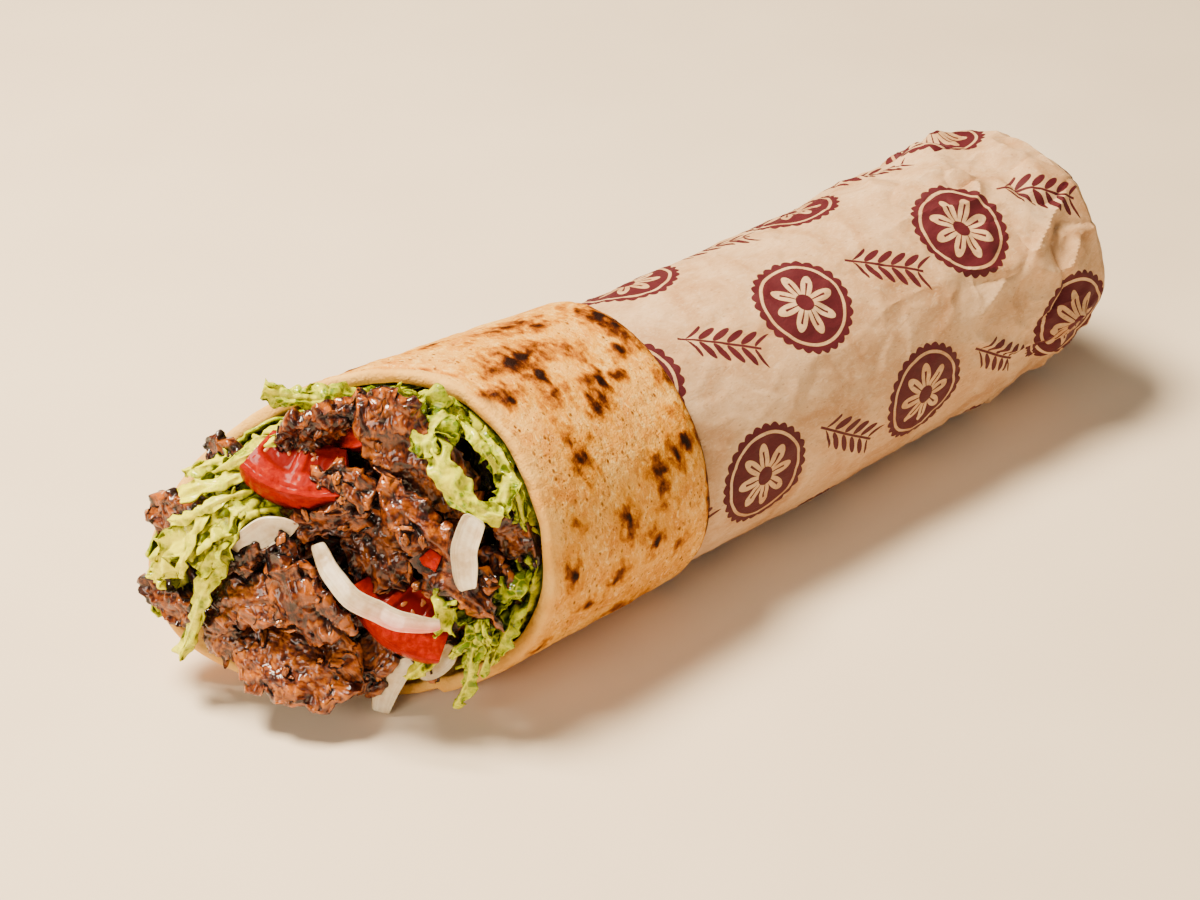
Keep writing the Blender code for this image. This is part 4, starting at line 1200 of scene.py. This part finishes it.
# Shreds: width in millimetres, frill, then points (u, v, w)
FAR_SHREDS = [
    (6.5, 0.7, (4, 31, -8), (-5, 33, -1), (-12, 33.5, 4), (-20, 35.5, 7)),
    (4.5, 1.0, (-7.6, 29.4, 0), (-15, 27.4, 4), (-21.2, 22.5, 6)),
    (4.5, 0.3, (-6.6, 29.3, 3), (-12.7, 27.2, 6), (-20.7, 22.2, 9), (-29.5, 16.4, 9)),
    (4.0, 1.2, (-24.5, 18.6, 0), (-27.0, 19.0, 6), (-31.0, 18.0, 8), (-36.5, 15.7, 9)),
    (4.5, 0.8, (-21.4, 17.5, 6), (-27.1, 15.8, 11), (-35.9, 11.3, 12)),
    (8.0, 1.3, (-18.6, 14.5, 2), (-23.1, 11.9, 10), (-29.6, 5.8, 14), (-38.0, -1.3, 13),
     (-41.9, -9.5, 10)),
    (7.0, 1.3, (-17.9, 11.4, 3), (-22.3, 10.1, 13), (-27.2, 2.7, 15), (-31.5, -4.6, 13)),
    (5.0, 0.6, (-16.4, 10.8, 4), (-21.2, 10.3, 12), (-25.4, 1.9, 15), (-29.9, -9.4, 14),
     (-36.0, -26.0, 11)),
    (4.5, 0.7, (-11.3, 10.0, 6), (-16.9, 10.5, 10), (-22.6, 7.1, 12)),
    (5.0, 1.2, (-30, 6, -2), (-33, 5, 8), (-37, -2, 10), (-39, -6, 8)),
    (2.2, 0.5, (-26, 12, 8), (-30, 8, 15), (-33, 0, 16), (-35, -6, 14)),
    (2.0, 0.5, (-20, 14, 8), (-27, 12, 14), (-33, 8, 15), (-38, 6, 13)),
]
NEAR_SHREDS = [
    (5.0, 1.2, (10.7, 33.3, -6), (9.1, 35.0, 0), (6.5, 35.7, 5)),
    (8.5, 1.4, (22.3, 30.7, -6), (19.4, 34.0, 3), (16.7, 32.3, 9), (17.0, 27.0, 12)),
    (5.0, 1.3, (16.1, 34.8, -2), (13.3, 35.5, 4), (10.4, 34.8, 7)),
    (5.6, 0.45, (15.6, 32.2, 8), (19.5, 27.7, 12), (22.8, 23.1, 13.5), (27.8, 18.4, 13),
     (33.5, 16.4, 11)),
    (2.0, 0.4, (20.6, 33.3, 3), (24.8, 32.0, 8), (28.3, 29.2, 9), (30.3, 24.3, 6)),
    (7.0, 1.0, (21.3, 29.8, -6), (27.6, 28.6, 0), (32.0, 25.4, 3), (34.4, 20.2, 5),
     (36.0, 13.0, 3)),
    (5.5, 1.3, (30.2, 24.2, 0), (33.1, 20.9, 7), (32.1, 15.7, 8)),
    (5.0, 1.5, (26.6, -4.9, 2), (23.3, -3.1, 10), (21.9, -4.3, 13), (22.8, -10.1, 11)),
    (5.0, 1.2, (36.0, -3.1, -4), (33.4, -3.2, 5), (29.2, -5.7, 9), (24.7, -9.1, 10)),
    (3.6, 0.8, (34.3, -5.0, -2), (33.2, -4.8, 8), (29.8, -12.0, 10), (26.3, -19.1, 8)),
    (3.8, 0.7, (31.1, -6.7, -2), (29.9, -6.3, 10), (28.6, -14.4, 10), (27.1, -22.8, 7),
     (24.0, -30.5, 5)),
    (4.2, 1.0, (36.0, -4.4, -4), (35.6, -6.6, 6), (33.9, -12.1, 7), (31.5, -19.3, 5)),
    (4.0, 1.0, (35.5, -6.0, -2), (32.9, -7.4, 9), (29.5, -10.2, 11), (24.5, -15.0, 10)),
    (2.2, 0.6, (33.0, -3.0, 4), (31.0, -8.0, 12), (31.5, -14.0, 9), (29.5, -21.0, 7)),
    (2.4, 0.6, (36.0, -8.0, 0), (31.5, -12.0, 9), (27.0, -13.5, 10), (23.0, -17.5, 8)),
    (3.0, 1.0, (20.2, -17.4, 5), (17.1, -20.7, 7), (13.4, -24.5, 7)),
    (4.0, 1.2, (37.0, 2.0, -3), (36.0, 0.0, 4), (33.0, -3.0, 8), (29.0, -2.0, 9)),
]
# Each side's sheets, from and to an angle in degrees, then its shreds and its first seed
LETTUCE = {"far": (236, 352, FAR_SHREDS, 1), "near": (8, 140, NEAR_SHREDS, 31)}


def curve_through(points, share):
    """A point of the Catmull-Rom curve through the points, share from 0 to 1."""
    spans = len(points) - 1
    index = min(int(share * spans), spans - 1)
    t = share * spans - index
    before = points[max(index - 1, 0)]
    start, end = points[index], points[index + 1]
    after = points[min(index + 2, spans)]
    return 0.5 * (
        2 * start
        + (end - before) * t
        + (2 * before - 5 * start + 4 * end - after) * t * t
        + (3 * start - before - 3 * end + after) * t**3
    )


def leaf_axes(path, share):
    """The middle of a shred, the way across it and the way that its face looks."""
    ahead = curve_through(path, min(1.0, share + 0.05)) - curve_through(path, max(0.0, share - 0.05))
    side = ahead.cross(LEAF_FACE).normalized()
    return curve_through(path, share), side, side.cross(ahead).normalized()


def shred(bunch, width, frill, points, seed):
    """A strip of leaf along a path: the solid's ruffle, with a frilled, torn edge and a rib."""
    # The random part is the shred's own tone; the part that falls with the first point's u darkens
    # the shreds on the right, as painted shade of the rim.
    tone = 0.8 * random.Random(seed).uniform(-1, 1) - points[0][0] / 40
    path = [in_mouth(*point) for point in points]
    length = sum((b - a).length for a, b in zip(path, path[1:])) / MM
    rows, columns = int(length / SHRED_STEP), 10 + int(width * 2.2)
    axes = [leaf_axes(path, i / (rows - 1)) for i in range(rows)]
    middles, sides, faces = (np.array(column)[:, None, :] for column in zip(*axes))
    share, b = crossed(np.linspace(0, 1, rows), np.linspace(-1, 1, columns))
    half = width * MM / 2 * (0.5 + 0.5 * np.sin(math.pi * np.minimum(1.0, 0.2 + share * 0.74)))
    spot = stacked(share * length / 4.5, b * 1.6 * width / 4.5, seed * 5.7)
    own = stacked(share * length, b * width / 2, seed * 31.0)
    rim = smooth((np.abs(b) - 0.25) / 0.75)
    torn = layered(0.0, own, (1.5, 3.4, seed), (0.9, 1.5, seed + 1))
    reach = half * b * (1 + 0.7 * soft_noise(spot + (0, 0, 50)))
    reach = reach + np.sign(b) * rim * torn * MM * frill
    wave = 2.2 * (0.4 + 0.6 * np.abs(b)) * soft_noise(spot) * min(1.0, width / 5)
    wave = wave + rim * layered(0.0, own, (2.4, 3.4, seed + 2), (1.3, 1.5, seed + 3)) * frill
    wave = wave + 0.35 * pebbles(own * (1, 0.6, 1), 2.2, seed + 4)
    wave = wave + 0.4 * lumps(own, 2.0, seed + 6) * frill - 0.22 * width * b * b * (1.2 - frill)
    middle = middles + sides * reach[..., None] + faces * (wave * MM)[..., None]
    rib = np.exp(-((b / 0.25) ** 2)) * smooth(0.6 + 2 * lumps(own * (0.2, 0.0, 1.0), 2.0, seed + 5))
    thick = faces * ((0.2 + 0.5 * rib) * MM)[..., None]
    points = kept_in(np.stack([middle + thick, middle - thick]))
    bunch.add_slab(points, edge=rim * min(1.0, frill), rib=rib, tone=tone)


def leaf_layer(bunch, start, stop, seed, depth):
    """A sheet of leaf between the meat and the bread whose wavy edge shows at the rim."""
    share, across = crossed(np.linspace(0, 1, LEAF_ROWS), np.linspace(0, 1, LEAF_COLUMNS))
    angle = start + ((stop - start) % TURN) * across
    x = rim_x(angle) + LEAF_REACH * (1 - share)
    own = stacked(x, np.sin(angle) * 30 * MM, np.cos(angle) * 30 * MM) + seed * 0.1
    x = x - share**2 * layered(1.5, own * (0, 1, 1), (3.5, 6 * MM, seed), (1.2, 2 * MM, seed)) * MM
    taper = smooth(np.minimum(across, 1 - across) * 8)
    inset = (0.8 + depth * taper) * MM
    ruffle = share * layered(0.0, own, (1.6, 4.5 * MM, seed + 2), (0.7, 2 * MM, seed + 3)) * MM
    inset = inset + np.maximum(ruffle, -inset + 0.4 * MM)
    sides = np.stack([in_cavity(x, angle, inset), in_cavity(x, angle, inset + 0.7 * MM)])
    bunch.add_slab(sides, edge=share**4, tone=random.Random(seed).uniform(-0.8, 0.6))


def make_lettuce(name, material, start, stop, shreds, first_seed):
    bunch = Bunch("edge", "rib", "tone", "closed")
    for k, depth in enumerate(LEAF_DEPTHS):
        leaf_layer(bunch, math.radians(start), math.radians(stop), first_seed + 70 + k, depth)
    for i, (width, frill, *points) in enumerate(shreds):
        shred(bunch, width, frill, points, first_seed + i)
    return bunch.make(name, material)


# --- Tomato and onion

# Slices of tomato: radius, arc, depth and thickness, then the place
TOMATOES = {
    "tomato_upper": ((24, 58, 13, 8), (-11, 17, 16, -8, 48, 0)),
    "tomato_lower": ((20, 74, 14, 7), (10, -13, 14, -34, 38, 0)),
    "tomato_inner": ((22, 40, 9, 5), (0, 24, 1, 20, 30, 0)),
    "tomato_bit": ((6, 40, 3.5, 3.5), (19, 5, 15, -30, 20, 0)),
}
# Slices of onion: radius, arc, width and thickness, then the taper of both ends, then the place
ONIONS = {
    "onion_long": ((24, 78, 4.6, 1.5), (0.35, 0.5), (7, -4.5, 18, -27, 16, 0)),
    "onion_left": ((22, 44, 6.6, 1.3), (0.9, 0.85), (-17, 6.5, 14, 212, 15, 0)),
    "onion_right": ((20, 46, 5.6, 1.4), (0.1, 0.35), (27, 9, 15, -92, 0, 0)),
    "onion_low": ((20, 42, 5.2, 1.4), (0.5, 0.3), (8.5, -28.8, 2, 244, 0, 0)),
    "onion_low_right": ((18, 34, 4.8, 1.4), (0.5, 0.4), (19.3, -21.9, 3.2, 44, 10, 0)),
}
TOMATO_STEP = 0.36  # between a slice's points, in millimetres
TOMATO_WALL = 4.4  # from the skin to the jelly
JELLY_DEPTH = 8  # the least depth of a slice that has jelly
SEED_CHANCE = 0.006
ONION_STEP = 0.35
BLUSHING = "onion_long"


def make_tomato(name, materials, sizes, place, seed):
    """Part of a slice: a band of skin, and cut faces with flesh walls and jelly pockets."""
    radius, arc, depth, thick = sizes
    half_arc = math.radians(arc) / 2
    inner = max(depth, radius * (1 - math.cos(half_arc)) + 1)
    columns = max(14, int(radius * 2 * half_arc / TOMATO_STEP))
    swing = np.linspace(-half_arc, half_arc, columns)[None, :]
    skin_x, skin_y = radius * np.sin(swing), radius - radius * np.cos(swing)
    core_x = 0.7 * radius * np.sin(half_arc) * np.linspace(-1, 1, columns)[None, :]
    share = np.linspace(1, 0, max(8, int(inner / TOMATO_STEP)))[:, None] ** 0.9
    own = stacked(blend(skin_x, core_x, share), blend(skin_y, inner, share), 0.0)
    wall = TOMATO_WALL + 0.5 * np.sin(swing * 9 + seed)
    from_skin = own[..., 1] - skin_y
    rays = np.abs(np.sin(swing * 3.1 * 2 + seed * 1.3))
    jelly = smooth((from_skin - wall) / 1.2) * smooth((inner - own[..., 1] - 1.2) / 1.5)
    jelly = jelly * smooth((rays - 0.25) / 0.25) * (depth >= JELLY_DEPTH)
    sunk = layered(0.5 * jelly + 0.06 * pebbles(own + seed, 1.6, seed), own + seed, (0.25, 5.0, seed))
    sunk = sunk + 0.25 * smooth(from_skin / 1.0) * smooth((2.2 - from_skin) / 1.0)
    top = own - stacked(0, 0, sunk)
    down = np.linspace(0, 1, 14)[1:-1, None]
    out = (0.5 + 0.15 * np.sin(swing * 14 + seed)) * np.maximum(np.sin(math.pi * down), 0.0) ** 0.6
    out = radius + out
    band = stacked(out * np.sin(swing), radius - out * np.cos(swing), -thick * down)
    under = own[::-1] * (1, 1, 0) - (0, 0, thick)
    under = under + stacked(0, 0, 0.3 * lumps(own[::-1] + 50, 2.5, seed))
    close = blend(under[-1:], top[:1], np.linspace(0, 1, 8)[1:-1, None, None])
    grid = np.concatenate([top, band, under, close])
    skin, gel = np.zeros(grid.shape[:2]), np.zeros(grid.shape[:2])
    skin[len(top) : len(top) + len(band)] = 1.0
    gel[: len(top)] = jelly
    skin, gel = (np.append(values.T.ravel(), (0, 0)) for values in (skin, gel))
    matrix = mouth_placement(*place)
    bunch = Bunch("skin", "jelly", "closed")
    grid = grid.transpose(1, 0, 2) * MM
    bunch.add_tube(grid, lambda points: moved(points, matrix), skin=skin, jelly=gel)
    chance = random.Random(seed)
    for i, j in zip(*np.nonzero(jelly > 0.8)):
        if chance.random() < SEED_CHANCE:
            add_seed(bunch, top[i, j] - (0, 0, 0.1), chance.uniform(0, TURN), matrix)
    return bunch.make(name + "_slice", *materials, sharp=40)


def add_seed(bunch, spot, turn, matrix):
    """A flat teardrop seed lying in the jelly."""
    x, y, z = np.moveaxis(ball_grid(7, 10), -1, 0)
    narrow = 1 - 0.25 * x
    x, y, z = 0.85 * x, 0.5 * narrow * y, 0.25 * narrow * z
    c, s = math.cos(turn), math.sin(turn)
    grid = stacked(x * c - y * s, x * s + y * c, z) + spot
    bunch.add_tube(grid, lambda points: moved(points * MM, matrix), kind=1)


def make_onion(name, material, sizes, tapers, place, seed):
    """Part of an onion ring: a thin band with crisp edges and a concave face, narrower at its tips.
    """
    radius, arc, width, thick = sizes
    length = radius * math.radians(arc)
    rows, columns = int(length / ONION_STEP), 40
    along, roll = crossed(np.linspace(-1, 1, rows), TURN * np.arange(columns) / columns)
    swing = math.radians(arc) / 2 * along
    c, s = np.cos(roll), np.sin(roll)
    taper = np.where(along < 0, *tapers)
    tip = np.maximum(1 - taper * np.abs(along) ** 3, 0.02)
    tip = tip * (0.8 + 0.2 * np.sqrt(np.maximum(0.0, 1 - np.abs(along) ** 30)))
    own = stacked(along * length / 2, c * width / 2, s * thick / 2) + seed * 40
    middle = own * (1, 0, 0)
    out = width / 2 * tip * np.sign(c) * np.abs(c) ** 0.5
    reach = radius + layered(out, middle, (0.35, 6.0, seed))
    rise = thick / 2 * (0.35 + 0.65 * tip) * np.sign(s) * np.abs(s) ** 0.45
    rise = layered(rise, middle, (0.9, 9.0, seed + 1)) + 0.6 * (np.abs(c) * tip) ** 2
    rise = layered(rise - 0.3 * (s > 0) * (c * c < 0.8), own, (0.1, 1.5, seed + 2))
    grid = stacked(reach * np.sin(swing), radius - reach * np.cos(swing), rise) * MM
    blush = smooth((c + 0.7) / 1.3) * smooth(1.2 * along + 0.4) * (name == BLUSHING)
    matrix = mouth_placement(*place)
    bunch = Bunch("across", "blush", "closed")
    bunch.add_tube(grid, lambda points: kept_in(moved(points, matrix)), across=c * tip, blush=blush)
    return bunch.make(name + "_slice", material, sharp=45)


# --- Stage

FLOOR_HALF = 8.0
CAMERA_AZIMUTH = math.radians(-40.3)
CAMERA_ELEVATION = math.radians(34.5)
CAMERA_DISTANCE = 548.7 * MM
CAMERA_TARGET = Vector((-21.6 * MM, 0.0, 30.7 * MM))
LENS = 72.0  # millimetres, on a sensor 36 wide
LIT_SPOT = Vector((-0.02, 0, 0.03))
# Soft lights: place, size, watts and colour
LIGHTS = {
    "key": ((-0.28, 0.28, 0.88), 0.28, 34.0, (1.0, 0.87, 0.68)),
    "fill": ((-1.0, -0.28, 0.52), 0.5, 8.5, (1.0, 0.88, 0.72)),
    "low_fill": ((1.1, -1.8, 0.8), 1.6, 10.4, (1.0, 0.90, 0.78)),
}
SKY_COLOUR = (1.0, 0.92, 0.82, 1)
SKY_STRENGTH = 0.1


def make_stage():
    floor = Bunch()
    corners = np.array(((-1, -1, 0), (1, -1, 0), (1, 1, 0), (-1, 1, 0)))
    floor.add(corners * FLOOR_HALF, [[0, 1, 2, 3]])
    floor.make("floor", floor_material())
    world = bpy.data.worlds.new("studio")
    world.use_nodes = True
    sky = world.node_tree.nodes["Background"].inputs
    sky["Color"].default_value = SKY_COLOUR
    sky["Strength"].default_value = SKY_STRENGTH
    bpy.context.scene.world = world
    for name, (place, size, power, colour) in LIGHTS.items():
        lamp = bpy.data.lights.new(name, "AREA")
        lamp.size = size
        lamp.energy = power
        lamp.color = colour
        light = placed_in_scene(bpy.data.objects.new(name, lamp))
        light.location = place
        light.rotation_euler = (LIT_SPOT - light.location).to_track_quat("-Z", "Y").to_euler()


def make_camera():
    camera = placed_in_scene(bpy.data.objects.new("camera", bpy.data.cameras.new("camera")))
    camera.data.lens = LENS
    camera.data.clip_start = 0.01
    flat = math.cos(CAMERA_ELEVATION)
    x, y = math.sin(CAMERA_AZIMUTH) * flat, -math.cos(CAMERA_AZIMUTH) * flat
    way = Vector((x, y, math.sin(CAMERA_ELEVATION)))
    camera.location = CAMERA_TARGET + way * CAMERA_DISTANCE
    camera.rotation_euler = (-way).to_track_quat("-Z", "Y").to_euler()
    bpy.context.scene.camera = camera


def dress(piece, slot, *nodes):
    """Puts the piece on the part, in the place of the solids it stands for."""
    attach(piece, "root")
    if nodes:
        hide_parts(*nodes)
    return piece


def make_filling():
    meat = meat_material()
    upper, lower = make_meat(meat)
    filling = [dress(upper, "meat", "meat_heap"), dress(lower, "meat")]
    filling.append(dress(make_meat_core(meat), "meat"))
    leaf = lettuce_material()
    for side, (start, stop, shreds, seed) in LETTUCE.items():
        piece = make_lettuce("lettuce_shreds_" + side, leaf, start, stop, shreds, seed)
        filling.append(dress(piece, "lettuce", "lettuce_" + side))
    tomato = tomato_material(), seed_material()
    for seed, (name, (sizes, place)) in enumerate(TOMATOES.items()):
        filling.append(dress(make_tomato(name, tomato, sizes, place, seed), "tomato", name))
    onion = onion_material()
    for seed, (name, (sizes, tapers, place)) in enumerate(ONIONS.items()):
        filling.append(dress(make_onion(name, onion, sizes, tapers, place, seed), "onion", name))
    filling.append(dress(make_scraps(meat, filling), "meat"))
    return filling


def main():
    for obj in list(bpy.data.objects):
        bpy.data.objects.remove(obj)
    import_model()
    bread = dress(make_bread(), "bread", "flatbread")
    dress(make_paper(), "paper", "paper_sleeve")
    filling = make_filling()
    # Painted shade where the filling and the bread crowd together.
    bake_crowded_shade(filling, filling + [bread])
    make_stage()
    make_camera()


main()
